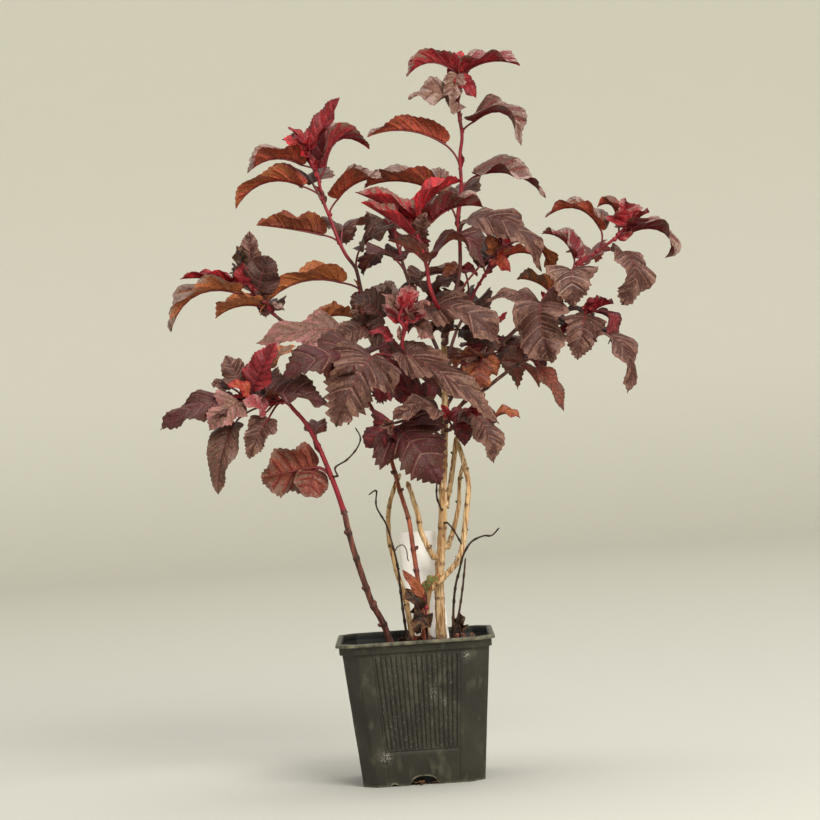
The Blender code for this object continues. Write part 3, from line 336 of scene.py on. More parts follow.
def node_group(name, inputs):
    """A new geometry node group with one geometry in and out and the given named inputs."""
    group = bpy.data.node_groups.new(name, "GeometryNodeTree")
    group.interface.new_socket("Geometry", in_out="INPUT", socket_type="NodeSocketGeometry")
    for label, kind in inputs:
        group.interface.new_socket(label, in_out="INPUT", socket_type=kind)
    group.interface.new_socket("Geometry", in_out="OUTPUT", socket_type="NodeSocketGeometry")
    return group, group.nodes.new("NodeGroupInput"), group.nodes.new("NodeGroupOutput")


def shaped_by(thing, group, values):
    """Give the object the node group with its inputs set, then settle it."""
    modifier = thing.modifiers.new(group.name, "NODES")
    modifier.node_group = group
    for socket in group.interface.items_tree:
        if socket.in_out == "INPUT" and socket.name in values:
            modifier[socket.identifier] = values[socket.name]
    return settled(thing)


def crumb_nodes():
    group, given, result = node_group("loose crumbs", [
        ("Spacing", "NodeSocketFloat"), ("Largest", "NodeSocketFloat"), ("Smallest", "NodeSocketFloat"),
        ("Seed", "NodeSocketInt"), ("Finish", "NodeSocketMaterial")])
    nodes = group.nodes
    link = group.links.new
    spread = nodes.new("GeometryNodeDistributePointsOnFaces")
    spread.distribute_method = "POISSON"
    spread.inputs["Density Max"].default_value = 900000.0
    link(given.outputs["Geometry"], spread.inputs["Mesh"])
    link(given.outputs["Spacing"], spread.inputs["Distance Min"])
    link(given.outputs["Seed"], spread.inputs["Seed"])
    crumb = nodes.new("GeometryNodeMeshIcoSphere")
    crumb.inputs["Radius"].default_value = 1.0
    crumb.inputs["Subdivisions"].default_value = 1
    size = nodes.new("FunctionNodeRandomValue")
    size.data_type = "FLOAT_VECTOR"
    link(given.outputs["Smallest"], size.inputs["Min"])
    link(given.outputs["Largest"], size.inputs["Max"])
    link(given.outputs["Seed"], size.inputs["Seed"])
    spin = nodes.new("FunctionNodeRandomValue")
    spin.data_type = "FLOAT_VECTOR"
    spin.inputs["Max"].default_value = (6.3, 6.3, 6.3)
    placed = nodes.new("GeometryNodeInstanceOnPoints")
    link(spread.outputs["Points"], placed.inputs["Points"])
    link(crumb.outputs["Mesh"], placed.inputs["Instance"])
    link(size.outputs["Value"], placed.inputs["Scale"])
    link(spin.outputs["Value"], placed.inputs["Rotation"])
    real = nodes.new("GeometryNodeRealizeInstances")
    link(placed.outputs["Instances"], real.inputs["Geometry"])
    finish = nodes.new("GeometryNodeSetMaterial")
    link(real.outputs["Geometry"], finish.inputs["Geometry"])
    link(given.outputs["Finish"], finish.inputs["Material"])
    link(finish.outputs["Geometry"], result.inputs["Geometry"])
    return group


def build_soil():
    half = body_half(SOIL_TOP) - POT_WALL - 0.35
    around = []
    for turn in range(4):
        spin = Matrix.Rotation(math.pi / 2 * turn, 3, "Z")
        flat = half - INNER_CORNER_CUT
        for k in range(SOIL_COLUMNS):
            around.append(spin @ Vector((flat * (2 * k / SOIL_COLUMNS - 1), -half, 0)))
        for cut in (0.0, 0.33, 0.67):
            around.append(spin @ Vector((flat + cut * INNER_CORNER_CUT, -half + cut * INNER_CORNER_CUT, 0)))
    count = len(around)
    places = []
    for ring in range(SOIL_ROUNDS):
        share = 1 - ring / SOIL_ROUNDS
        for spot in around:
            place = spot * share
            rough = noise.noise(place * 0.11) * 0.6 + noise.noise(place * 0.45) * 0.4
            place.z = SOIL_TOP - 0.6 + min(rough, 0.6) * SOIL_ROUGH * (0.4 + 0.6 * share)
            places.append(place)
    places.append(Vector((0, 0, SOIL_TOP - 0.5)))
    faces = []
    for ring in range(SOIL_ROUNDS - 1):
        for k in range(count):
            n = (k + 1) % count
            a = ring * count
            faces.append((a + k, a + n, a + count + n, a + count + k))
    last = (SOIL_ROUNDS - 1) * count
    for k in range(count):
        faces.append((last + k, last + (k + 1) % count, len(places) - 1))
    earth = weathered("potting mix", tone(44, 34, 26), [
        (tone(74, 56, 38), 120.0, (1, 1, 1), 0.5, 0.7, None),
        (tone(20, 16, 13), 260.0, (1, 1, 1), 0.5, 0.65, None)], 0.95, (700.0, 0.8))
    crumb_earth = weathered("crumbs of bark and peat", tone(58, 42, 30), [
        (tone(112, 82, 52), 300.0, (1, 1, 1), 0.55, 0.6, None),
        (tone(22, 17, 14), 210.0, (1, 1, 1), 0.5, 0.56, None)], 0.95, (1500.0, 0.4))
    crumbs = new_piece("soil_crumbs", places, faces, crumb_earth)
    shaped_by(crumbs, crumb_nodes(), {"Spacing": CRUMB_SPACING * 1.9, "Largest": 0.0011, "Smallest": 0.0003,
                                      "Seed": 5, "Finish": crumb_earth})
    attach(crumbs, "root")
    for spot in around:
        place = spot * ((body_half(POT_WALL) - POT_WALL - 0.35) / half)
        place.z = POT_WALL + 0.35
        places.append(place)
    low = len(places) - count
    for k in range(count):
        n = (k + 1) % count
        faces.append((low + k, low + n, n, k))
    faces.append(tuple(low + count - 1 - k for k in range(count)))
    thing = new_piece("soil_ball", places, faces, earth)
    stands_for(thing, "soil", "soil")


build_soil()


# The label is a strip of white plastic with rounded corners, pushed into the soil and leaning a
# little. It is blank.
LABEL_HALF = 10.75
LABEL_THICK = 0.6
LABEL_TOP = 140.5
LABEL_FOOT = 48.0
LABEL_LEAN = 3.6
LABEL_SPOT = (9.5, 14.0)
LABEL_ROUNDING = 1.3


def build_label():
    x, y = LABEL_SPOT
    lean = math.tan(math.radians(LABEL_LEAN))
    levels = [LABEL_FOOT + (LABEL_TOP - LABEL_ROUNDING - LABEL_FOOT) * k / 24 for k in range(25)]
    levels += [LABEL_TOP - LABEL_ROUNDING * (1 - math.sin(math.radians(angle)))
               for angle in (20, 40, 58, 72, 82, 90)]
    section = [(-1, -0.3), (-0.985, -1), (-0.5, -1), (0, -1), (0.5, -1), (0.985, -1), (1, -0.3),
               (1, 0.3), (0.985, 1), (0.5, 1), (0, 1), (-0.5, 1), (-0.985, 1), (-1, 0.3)]
    places = []
    soiled = []
    for z in levels:
        over = max(z - (LABEL_TOP - LABEL_ROUNDING), 0.0)
        half = LABEL_HALF - LABEL_ROUNDING + math.sqrt(max(LABEL_ROUNDING ** 2 - over ** 2, 0.0))
        middle = x - (z - 71.0) * lean
        for a, b in section:
            places.append((middle + a * half, y + b * LABEL_THICK / 2, z))
            soiled.append(1 - ease(71.0, 96.0, z))
    count = len(section)
    faces = []
    for i in range(len(levels) - 1):
        for k in range(count):
            n = (k + 1) % count
            faces.append((i * count + k, i * count + n, (i + 1) * count + n, (i + 1) * count + k))
    faces.append(tuple(reversed(range(count))))
    faces.append(tuple(range((len(levels) - 1) * count, len(levels) * count)))
    white = weathered("label plastic", tone(252, 250, 246), [
        (tone(242, 238, 230), 35.0, (1, 1, 1), 0.5, 0.8, None),
        (tone(120, 96, 70), 240.0, (1, 1, 0.5), 0.5, 0.68, "soiled")], 0.35, (120.0, 0.05))
    thing = new_piece("label_strip", places, faces, white, {"soiled": soiled})
    stands_for(thing, "label", "label")


build_label()


# The old stems are the cream-tan wood of earlier years: hard, peeling in long flakes, with dark
# nodes and scars. They rise from the soil, and the branches grow out of them.
VIEW_DISTANCE = 1720.0
VIEW_ACROSS = 6.0
VIEW_HEIGHT = 209.0
PLANT_LEVEL = 2.0
UNDER_GROUND = 60.0
GROUND = 70.2
FINE_STEP = 1.1
limbs = {}


def seen(across, up, depth):
    """The real place of what shows at (across, up) on the middle plane but stands at depth."""
    grow = 1 + depth / VIEW_DISTANCE
    return Vector((VIEW_ACROSS + (across - VIEW_ACROSS) * grow, depth,
                   PLANT_LEVEL + VIEW_HEIGHT + (up - VIEW_HEIGHT) * grow))


def smooth_path(places, steps):
    """A smooth run through the places; steps is the number of pieces between each two, or None
    for pieces of about FINE_STEP."""
    ends = [places[0] * 2 - places[1]] + list(places) + [places[-1] * 2 - places[-2]]
    run = []
    for i in range(1, len(ends) - 2):
        a, b, c, d = ends[i - 1:i + 3]
        pieces = steps or max(2, round((c - b).length / FINE_STEP))
        for k in range(pieces):
            t = k / pieces
            run.append(0.5 * (b * 2 + (c - a) * t + (a * 2 - b * 5 + c * 4 - d) * t * t
                              + (b * 3 - a - c * 3 + d) * t * t * t))
    run.append(places[-1].copy())
    return run


def skin_nodes():
    """Nodes that lay a round skin along each strand of a wire, as thick as its points say, with
    the bark's relief on it."""
    group, given, result = node_group("bark skin", [
        ("Sides", "NodeSocketInt"), ("Relief", "NodeSocketFloat"), ("Grain", "NodeSocketFloat"),
        ("Seed", "NodeSocketFloat"), ("Finish", "NodeSocketMaterial")])
    nodes = group.nodes
    link = group.links.new
    strand = nodes.new("GeometryNodeMeshToCurve")
    link(given.outputs["Geometry"], strand.inputs["Mesh"])
    thick = nodes.new("GeometryNodeInputNamedAttribute")
    thick.inputs["Name"].default_value = "thick"
    ring = nodes.new("GeometryNodeCurvePrimitiveCircle")
    ring.inputs["Radius"].default_value = 1.0
    link(given.outputs["Sides"], ring.inputs["Resolution"])
    skin = nodes.new("GeometryNodeCurveToMesh")
    skin.inputs["Fill Caps"].default_value = True
    link(strand.outputs["Curve"], skin.inputs["Curve"])
    link(ring.outputs["Curve"], skin.inputs["Profile Curve"])
    link(thick.outputs["Attribute"], skin.inputs["Scale"])
    spot = nodes.new("GeometryNodeInputPosition")
    drawn = nodes.new("ShaderNodeVectorMath")
    drawn.operation = "MULTIPLY"
    drawn.inputs[1].default_value = (1.0, 1.0, 0.22)
    link(spot.outputs["Position"], drawn.inputs[0])
    bark = nodes.new("ShaderNodeTexNoise")
    bark.noise_dimensions = "4D"
    bark.inputs["Detail"].default_value = 3.0
    link(drawn.outputs["Vector"], bark.inputs["Vector"])
    link(given.outputs["Grain"], bark.inputs["Scale"])
    link(given.outputs["Seed"], bark.inputs["W"])
    centred = nodes.new("ShaderNodeMath")
    centred.operation = "SUBTRACT"
    centred.inputs[1].default_value = 0.5
    link(bark.outputs["Fac"], centred.inputs[0])
    high = nodes.new("ShaderNodeMath")
    high.operation = "MULTIPLY"
    link(centred.outputs["Value"], high.inputs[0])
    link(given.outputs["Relief"], high.inputs[1])
    scaled = nodes.new("ShaderNodeMath")
    scaled.operation = "MULTIPLY"
    link(high.outputs["Value"], scaled.inputs[0])
    link(thick.outputs["Attribute"], scaled.inputs[1])
    normal = nodes.new("GeometryNodeInputNormal")
    shift = nodes.new("ShaderNodeVectorMath")
    shift.operation = "SCALE"
    link(normal.outputs["Normal"], shift.inputs[0])
    link(scaled.outputs["Value"], shift.inputs["Scale"])
    moved = nodes.new("GeometryNodeSetPosition")
    link(skin.outputs["Mesh"], moved.inputs["Geometry"])
    link(shift.outputs["Vector"], moved.inputs["Offset"])
    smooth = nodes.new("GeometryNodeSetShadeSmooth")
    link(moved.outputs["Geometry"], smooth.inputs["Geometry"])
    real = nodes.new("GeometryNodeRealizeInstances")
    link(smooth.outputs["Geometry"], real.inputs["Geometry"])
    finish = nodes.new("GeometryNodeSetMaterial")
    link(real.outputs["Geometry"], finish.inputs["Geometry"])
    link(given.outputs["Finish"], finish.inputs["Material"])
    link(finish.outputs["Geometry"], result.inputs["Geometry"])
    return group


bark_skin = skin_nodes()


def skinned(name, strands, material, sides=12, relief=0.0, grain=900.0, seed=0.0):
    """A piece with a skin laid along strands of (places, thicknesses, marks), in millimetres."""
    places = []
    edges = []
    thick = []
    marks = []
    for run, radii, signs in strands:
        start = len(places)
        places += [tuple(place * MM) for place in run]
        edges += [(start + k, start + k + 1) for k in range(len(run) - 1)]
        thick += [radius * MM for radius in radii]
        marks += list(signs)
    mesh = bpy.data.meshes.new(name)
    mesh.from_pydata(places, edges, [])
    for label, values in (("thick", thick), ("mark", marks)):
        layer = mesh.attributes.new(label, "FLOAT", "POINT")
        layer.data.foreach_set("value", np.asarray(values, dtype=np.float32))
    thing = bpy.data.objects.new(name, mesh)
    bpy.context.scene.collection.objects.link(thing)
    return shaped_by(thing, bark_skin, {"Sides": sides, "Relief": relief, "Grain": grain, "Seed": seed,
                                        "Finish": material})


def nearest_on(name, place):
    run, radii = limbs[name]
    k = min(range(len(run)), key=lambda i: (run[i] - place).length_squared)
    return run[k], radii[k]


def rooted_strand(name, spots, radii, meets, node_gap, swell, seed, tip=0.6):
    """The strand of a limb: it starts inside the limb that it grows from, or just under the
    ground, swells a little at its root and nodes, and tapers to its tip. Also its nodes."""
    run = smooth_path([seen(*spot) for spot in spots], None)
    if meets:
        axis, reach = nearest_on(meets[0], run[0])
        if (axis - run[0]).length >= reach:
            run.insert(0, axis)
    else:
        run = [place for place in run if place.z > GROUND - 0.8]
    lengths = [0.0]
    for a, b in zip(run, run[1:]):
        lengths.append(lengths[-1] + (b - a).length)
    whole = lengths[-1]
    shake = random.Random(seed)
    nodes = []
    spot = node_gap * 0.6
    while spot < whole - 2:
        nodes.append(spot)
        spot += node_gap * shake.uniform(0.7, 1.35)
    thick = []
    marks = []
    for far in lengths:
        radius = radii[0] + (radii[1] - radii[0]) * far / whole
        near = sum(math.exp(-((far - node) / 1.1) ** 2) for node in nodes)
        flare = 0.4 * math.exp(-far / 1.6) if meets else 0.25 * math.exp(-far / 3.0)
        blunt = 1 - (1 - tip) * ease(whole - 1.6 * radii[1], whole, far)
        thick.append(radius * (1 + swell * near + flare) * blunt)
        marks.append(min(near, 1.0))
    limbs[name] = (run, thick)
    places = []
    for k, node in enumerate(nodes):
        i = min(range(len(run)), key=lambda j: abs(lengths[j] - node))
        onward = (run[min(i + 1, len(run) - 1)] - run[max(i - 1, 0)]).normalized()
        turn = Matrix.Rotation(k * math.pi + shake.uniform(-0.7, 0.7), 3, onward)
        out = turn @ onward.orthogonal().normalized()
        places.append((run[i] + out * thick[i] * 0.8, (out + onward * 0.9).normalized(), thick[i]))
    return (run, thick, marks), places


old_bark = weathered("cream old bark", tone(196, 160, 116), [
    (tone(224, 194, 152), 700.0, (1, 1, 0.07), 0.46, 0.62, None),
    (tone(142, 102, 64), 900.0, (1, 1, 0.08), 0.5, 0.62, None),
    (tone(150, 112, 74), 120.0, (1, 1, 0.4), 0.5, 0.7, None),
    (tone(82, 56, 38), 520.0, (1, 1, 0.35), 0.62, 0.68, None),
    (tone(88, 60, 40), 420.0, (1, 1, 1), 0.36, 0.62, "mark")], 0.85, (1500.0, 0.8), 0.2)
stub_places = {"old": [], "red": [], "young": []}

for number, (name, spots, radii, meets) in enumerate((
    ("main_stem", [(15, UNDER_GROUND, -2), (15.5, 100, -1), (17, 118, 0), (20, 140, 2), (22, 165, 4),
                   (25, 195, 5), (27, 225, 5), (28, 249, 6)], (2.95, 1.5), []),
    ("right_old_stem", [(5, UNDER_GROUND, -11), (9, 101, -12), (18, 111, -12), (27, 120, -12),
                        (31, 130, -12), (34, 147, -11), (36.5, 163, -10), (35, 176, -8), (32, 189, -4)],
     (1.75, 1.4), []),
    ("right_old_branch", [(22.5, 129, 2), (26, 138, 8), (30, 152, 9), (32, 168, 8), (34.5, 176, 4)],
     (1.5, 1.0), ["main_stem", "right_old_stem"]),
    ("inner_old_branch", [(22.5, 152, 4), (26, 164, 9), (29, 178, 10), (31.5, 192, 8)],
     (1.6, 1.3), ["main_stem", "right_old_stem"]),
    ("left_old_stem", [(1, UNDER_GROUND, 6), (-4, 100, 5), (-8, 118, 5), (-11, 138, 6), (-10, 153, 6),
                       (-6, 165, 6), (-2, 173, 6)], (1.7, 1.2), []),
    ("left_old_branch", [(13.5, 124, -1), (10, 132, -2), (7.5, 139, -2), (6.5, 148, -2), (4, 159, 0),
                         (1.5, 168, 3)], (1.6, 1.3), ["main_stem", "left_old_stem"]),
)):
    strand, nodes = rooted_strand(name, spots, radii, meets, 17.0, 0.16, 20 + number)
    stands_for(skinned(name + "_bark", [strand], old_bark, 24, 0.85, 700.0, number * 3.7), "old_bark", name)
    stub_places["old"] += nodes


# The red-brown stems are last year's growth: smooth thin bark with small stubs of buds left and
# right by turns. The boughs of the new growth rise from the main stem in the same bark.
red_bark = weathered("red-brown bark", tone(84, 42, 34), [
    (tone(118, 66, 48), 600.0, (1, 1, 0.12), 0.5, 0.66, None),
    (tone(46, 26, 22), 500.0, (1, 1, 0.2), 0.5, 0.66, None),
    (tone(36, 22, 18), 400.0, (1, 1, 1), 0.25, 0.6, "mark")], 0.55, (1500.0, 0.4), 0.35)
orange_bark = weathered("orange-brown bark", tone(128, 58, 36), [
    (tone(160, 84, 52), 600.0, (1, 1, 0.12), 0.5, 0.66, None),
    (tone(74, 34, 26), 500.0, (1, 1, 0.2), 0.52, 0.68, None),
    (tone(44, 24, 18), 400.0, (1, 1, 1), 0.25, 0.6, "mark")], 0.5, (1500.0, 0.4), 0.35)

for number, (name, spots, radii, meets) in enumerate((
    ("red_brown_stem", [(6, UNDER_GROUND, -20), (5, 95, -19), (4, 110, -17), (2.5, 128, -14), (1, 146, -11),
                        (-3, 163, -8), (-6, 178, -6), (-11, 198, -3), (-17, 214, 0), (-28, 232, 4),
                        (-41, 249, 8), (-56, 260, 10)], (1.45, 1.0), []),
    ("lower_left_stem", [(-10, UNDER_GROUND, -18), (-17, 86, -21), (-23, 99, -24), (-26, 109, -26),
                         (-31, 128, -29), (-34, 142, -30), (-35.5, 152, -30)], (1.9, 1.6), []),
    ("upper_left_bough", [(25.5, 215, 8), (16, 226, 15), (4, 238, 20), (-8, 256, 22), (-16, 274, 22)],
     (1.3, 1.1), ["main_stem"]),
    ("right_high_bough", [(28.5, 216, 6), (41, 229, 3), (50, 236, 1), (60, 243, 0), (71, 252, 0),
                          (84, 264, 0), (96, 274, 0)], (1.3, 1.0), ["main_stem"]),
    ("right_low_bough", [(27, 201, 0), (38, 212, -6), (48, 217, -8), (60, 225, -9), (68, 230, -9),
                         (77, 234, -9)], (1.3, 0.95), ["main_stem", "right_old_stem"]),
)):
    strand, nodes = rooted_strand(name, spots, radii, meets, 14.0, 0.25, 40 + number, tip=0.9)
    bark = orange_bark if name == "red_brown_stem" else red_bark
    stands_for(skinned(name + "_bark", [strand], bark, 16, 0.25, 800.0, number * 2.3), "new_bark", name)
    stub_places["red"] += nodes


# The dry twigs are dead side shoots, thin, crooked and near black, left among the stems.
dry_bark = weathered("dead twig bark", tone(54, 40, 32), [
    (tone(96, 74, 54), 160.0, (1, 1, 0.4), 0.5, 0.72, None),
    (tone(24, 18, 16), 240.0, (1, 1, 1), 0.5, 0.7, None)], 0.85, (1400.0, 0.6), 0.25)
DRY_TWIGS = (
    ("dry_twig_left", [(-3, UNDER_GROUND, -4), (-6, 97, -4), (-7, 118, -5), (-9, 131, -7), (-12, 144, -9),
                       (-17, 155, -11), (-16.5, 164, -12), (-21, 162, -14)], (0.8, 0.4), []),
    ("dry_twig_right", [(20, UNDER_GROUND, -13), (24, 100, -17), (28, 115, -20), (31, 124, -22),
                        (36, 131, -23), (43, 134, -24), (48, 134, -25), (52.5, 138, -25)],
     (0.8, 0.45), []),
    ("thin_twig_right", [(16, UNDER_GROUND, -22), (25, 87, -23), (29, 104, -24), (32, 122, -25)],
     (0.75, 0.5), []),
    ("short_twig", [(20, 151, -3), (18, 158, -8), (18.5, 166, -14)], (0.6, 0.5), ["main_stem"]),
    ("cross_twig", [(23, 143, -3), (26, 139, -7), (30.5, 130, -17)], (0.5, 0.5), ["main_stem"]),
)


def dry_twig(name, spots, radii, meets, seed):
    strand, nodes = rooted_strand(name, spots, radii, meets, 8.0, 0.45, seed)
    stands_for(skinned(name + "_bark", [strand], dry_bark, 8, 0.5, 1100.0, seed), "dry_twigs", name)


for number, (name, spots, radii, meets) in enumerate(DRY_TWIGS):
    dry_twig(name, spots, radii, meets, 60 + number)


# The shoots of this year: a crimson stem with a leaf at each node. A leaf has a stalk that runs on
# as the midrib under the blade, side veins that pleat the blade, and a lobed and toothed margin.
# New leaves are red; older ones turn dark purple, mauve, amber or brown. Some have a grey top or edge, which is
# painted sheen of the light from above.
PETIOLE = 9.0
STALK_RADIUS = 0.62
STALK_BEND = 0.35
STALK_TURNS = 4
STALK_STEP = 0.45
STALK_SLANT = 1.35
MIDRIB_RISE = 0.75
FOLD_EASE = 0.35
EDGE_HALF = 0.43
LOBED = np.array(((0, 0, 0), (0, -0.06, 0.09), (0, -0.05, 0.22), (0.01, 0.03, 0.34), (0.02, 0.13, 0.43),
                  (0.03, 0.27, 0.48), (0.06, 0.345, 0.38), (0.12, 0.37, 0.23), (0.20, 0.46, 0.25),
                  (0.32, 0.56, 0.29), (0.47, 0.68, 0.24), (0.65, 0.80, 0.16), (0.83, 0.91, 0.075), (1, 1, 0)))
OVAL = np.array(((0, 0, 0), (0, -0.04, 0.09), (0, -0.02, 0.22), (0.01, 0.05, 0.34), (0.03, 0.14, 0.41),
                 (0.07, 0.24, 0.44), (0.12, 0.31, 0.43), (0.18, 0.38, 0.42), (0.26, 0.46, 0.41),
                 (0.36, 0.56, 0.37), (0.49, 0.68, 0.30), (0.65, 0.80, 0.20), (0.83, 0.91, 0.09), (1, 1, 0)))
ROUND = np.array(((0, 0, 0), (0, -0.05, 0.09), (0, -0.04, 0.22), (0.01, 0.03, 0.33), (0.03, 0.12, 0.41),
                  (0.07, 0.23, 0.46), (0.12, 0.33, 0.47), (0.19, 0.44, 0.47), (0.28, 0.55, 0.45),
                  (0.40, 0.67, 0.41), (0.54, 0.78, 0.35), (0.70, 0.88, 0.26), (0.86, 0.96, 0.13), (1, 1, 0)))
VEIN_CELL = np.array((0.0, 0.06, 0.28, 0.50, 0.72, 0.94))
TOOTH = np.array((1.0, 0.9, -0.6, 0.55, -0.7, 0.6))
TOOTH_SIZE = 0.023
PLEAT = 0.036
FULL_PLEAT_REACH = 2.2
FAR_HALF_RISE = 1.28
VEINLESS_TIP = 0.84
# Tone shift of each cell between two veins: painted shade in the pleat valleys beside the veins, and a painted
# highlight on the pleat crests between them.
PLEAT_SHADE_AND_HIGHLIGHT = np.array((0.0, -0.14, 0.14, 0.14, -0.14, 0.0))
PLEAT_SHAPE = np.array((0.0, 0.5, 0.95, 0.7, 0.9, 0.5))
WAVE = 0.12
ACROSS = np.array((0.0, 0.16, 0.40, 0.64, 0.85, 1.0))
LEAF_HALF_THICK = 0.16

# Of these tones, the pale grey-mauve one is painted sheen: it stands for light from above glancing off the leaves'
# upper sides, and the coats that give a leaf a grey top or edge use it so.
TONES = {
    "bright red": (174, 34, 40), "red": (138, 29, 35), "dark red": (102, 26, 29), "wine": (72, 26, 28),
    "dark purple": (58, 31, 26), "purple": (74, 42, 34), "mauve brown": (95, 60, 49),
    "mauve": (118, 83, 70), "grey mauve": (141, 115, 105), "pale mauve": (156, 133, 124),
    "pink": (158, 60, 66), "orange red": (156, 62, 43), "orange brown": (145, 80, 47),
    "amber": (160, 88, 49), "golden": (168, 103, 62), "red brown": (121, 56, 42),
    "dry brown": (92, 60, 38), "dead brown": (48, 34, 28), "olive green": (98, 104, 54),
    "near black": (42, 28, 28), "dull brown": (104, 78, 62), "rose": (136, 56, 60), "rose grey": (150, 98, 94),
}
COATS = {
    "young red": ("red", "bright red", "bright red", "red", "rose"),
    "red": ("red", "dark red", "bright red", "red", "rose"),
    "red, grey edge": ("dark red", "grey mauve", "red", "mauve", "rose"),
    "dark red": ("dark red", "wine", "red", "dark red", "dark red to rose"),
    "dark red, grey edge": ("mauve brown", "grey mauve", "dark red", "mauve brown", "dark red to rose"),
    "dark purple": ("dark purple", "purple", "red brown", "mauve brown", "mauve brown"),
    "purple, pale veins": ("wine", "purple", "red brown", "wine", "mauve brown to mauve"),
    "mauve": ("purple", "mauve", "red brown", "mauve brown", "mauve"),
    "mauve, pale veins": ("purple", "mauve", "red brown", "mauve brown", "grey mauve"),
    "pale mauve": ("mauve", "grey mauve", "mauve brown", "grey mauve", "grey mauve"),
    "pale rose": ("mauve", "rose grey", "mauve brown", "rose grey", "mauve"),
    "deep red": ("dark red", "red", "red", "dark red", "red"),
    "rose": ("rose", "rose grey", "rose", "rose grey", "pink"),
    "red, mauve edge": ("red", "mauve", "red", "bright red", "red"),
    "olive brown": ("dull brown", "amber", "orange brown", "dull brown", "amber"),
    "red, rose edge": ("red", "rose grey", "red", "rose", "pink"),
    "orange red": ("orange red", "red", "orange red", "orange brown", "amber"),
    "amber": ("amber", "golden", "amber", "orange brown", "golden"),
    "amber, grey top": ("mauve brown", "grey mauve", "amber", "grey mauve", "orange brown"),
    "orange, grey top": ("mauve brown", "grey mauve", "orange red", "red brown", "orange brown"),
    "orange brown": ("orange brown", "red brown", "red brown", "orange brown", "amber"),
    "brown": ("red brown", "mauve brown", "red brown", "orange red", "mauve brown"),
    "dull": ("mauve brown", "dull brown", "mauve brown", "mauve", "mauve"),
    "grey, brown edge": ("mauve", "grey mauve", "mauve", "red brown", "mauve brown"),
    "rust": ("red brown", "dark red", "red brown", "mauve", "dark red"),
    "dark": ("near black", "dark purple", "wine", "red brown", "purple"),
    "dry": ("red brown", "orange brown", "orange brown", "red brown", "dry brown"),
    "dead": ("dead brown", "dry brown", "dry brown", "dead brown", "dead brown"),
    "olive": ("olive green", "amber", "amber", "olive green", "orange brown"),
}
FOLDED = 35
AXIL_LEAF_SHARE = 0.45
TIP_LEAVES = 3
leaf_paints = {}


def leaf_paint(name):
    """One colour of leaf, dull satin, finely mottled darker by its net of veinlets, with paler, greyer flecks that
    are a painted sheen.
    """
    if name not in leaf_paints:
        first, second = (TONES[part] for part in (name.split(" to ") * 2)[:2])
        middle = [(a + b) / 2 for a, b in zip(first, second)]
        leaf_paints[name] = weathered(name + " leaf", tone(*middle), [
            (tone(*[part * 0.72 for part in middle]), 700.0, (1, 1, 1), 0.48, 0.62, None),
            # painted sheen: a paler, greyer layer that stands for light glancing off the blade
            (tone(*[part * 1.16 + 25 for part in middle]), 1400.0, (1, 1, 1), 0.54, 0.68, None),
        ], 0.52, (1300.0, 0.4), 0.26)
    return leaf_paints[name]


def leaf(coat, base, tip, out=0, dy=0, arch=None, wide=None, tilt=0, turn=0, fold=45, curl=0.0, lobe=None,
         blunt=None, crumple=None):
    """One measured leaf: its coat of colours, where its blade starts and ends as seen from the
    front, how far the blade's foot stands out from the stem and its tip from its foot (along Y),
    how high it arches, its width, how far its upper side leans to the front and is turned to the
    right, how far its halves fold up, how far its tip curls back, how lobed, blunt and crumpled it is."""
    long = math.hypot(tip[0] - base[0], tip[1] - base[1])
    folded = fold >= FOLDED
    if lobe is None:
        lobe = 0.3 if folded else 1.0
    if blunt is None:
        blunt = 0.4 if folded else 0.1
    if crumple is None:
        crumple = 2.4 if coat in ("dead", "dry") else 1.0
    return {"coat": coat, "base": base, "tip": tip, "out": out, "dy": dy, "tilt": tilt, "turn": turn,
            "arch": 0.16 * long if arch is None else arch, "wide": 0.5 * long if wide is None else wide,
            "fold": fold, "curl": curl, "lobe": lobe, "blunt": blunt, "lean": None,
            "crumple": crumple}


def smooth_rows(table, spots):
    """The table's columns at the given spots, rows being one apart, on a smooth curve."""
    padded = np.vstack((2 * table[0] - table[1], table, 2 * table[-1] - table[-2]))
    i = np.clip(spots.astype(int), 0, len(table) - 2)
    t = (spots - i)[:, None]
    a, b, c, d = (padded[i + k] for k in range(4))
    return 0.5 * (2 * b + (c - a) * t + (2 * a - 5 * b + 4 * c - d) * t * t + (3 * b - a - 3 * c + d) * t ** 3)


def unit(vectors):
    return vectors / np.linalg.norm(vectors, axis=-1, keepdims=True)


def midrib(spec, base, tip):
    """The blade's arched midrib as a function of parts of its length, its sideways direction and
    its whole length."""
    tilt = math.radians(spec["tilt"])
    turn = math.radians(spec["turn"])
    lean = np.array((math.sin(turn) * abs(math.sin(tilt)), -math.sin(tilt) * math.cos(turn), math.cos(tilt)))
    if spec["lean"]:
        lean = np.array(spec["lean"])
    base = np.array(base)
    chord = np.array(tip) - base
    way = unit(chord)
    up = unit(lean - way * lean.dot(way))
    side = np.cross(way, up)
    high = up * (spec["arch"] / MIDRIB_RISE)
    t = np.linspace(0, 1, 41)[:, None]
    s = 1 - t
    places = (base * s ** 3 + (base + chord * 0.3 + high) * 3 * s * s * t
              + (base + chord * (0.7 + spec["curl"]) + high) * 3 * s * t * t + (base + chord) * t ** 3)
    steps = np.diff(places, axis=0)
    lengths = np.concatenate(([0.0], np.cumsum(np.linalg.norm(steps, axis=1))))
    ways = unit(np.gradient(places, axis=0))
    whole = lengths[-1]

    def at(parts):
        far = np.asarray(parts, dtype=float) * whole
        spot = np.stack([np.interp(far, lengths, places[:, k]) for k in range(3)], axis=-1)
        along = unit(np.stack([np.interp(far, lengths, ways[:, k]) for k in range(3)], axis=-1))
        spot = spot + along * np.minimum(far, 0.0)[..., None]
        return spot, along, unit(np.cross(side, along))

    return at, side, whole


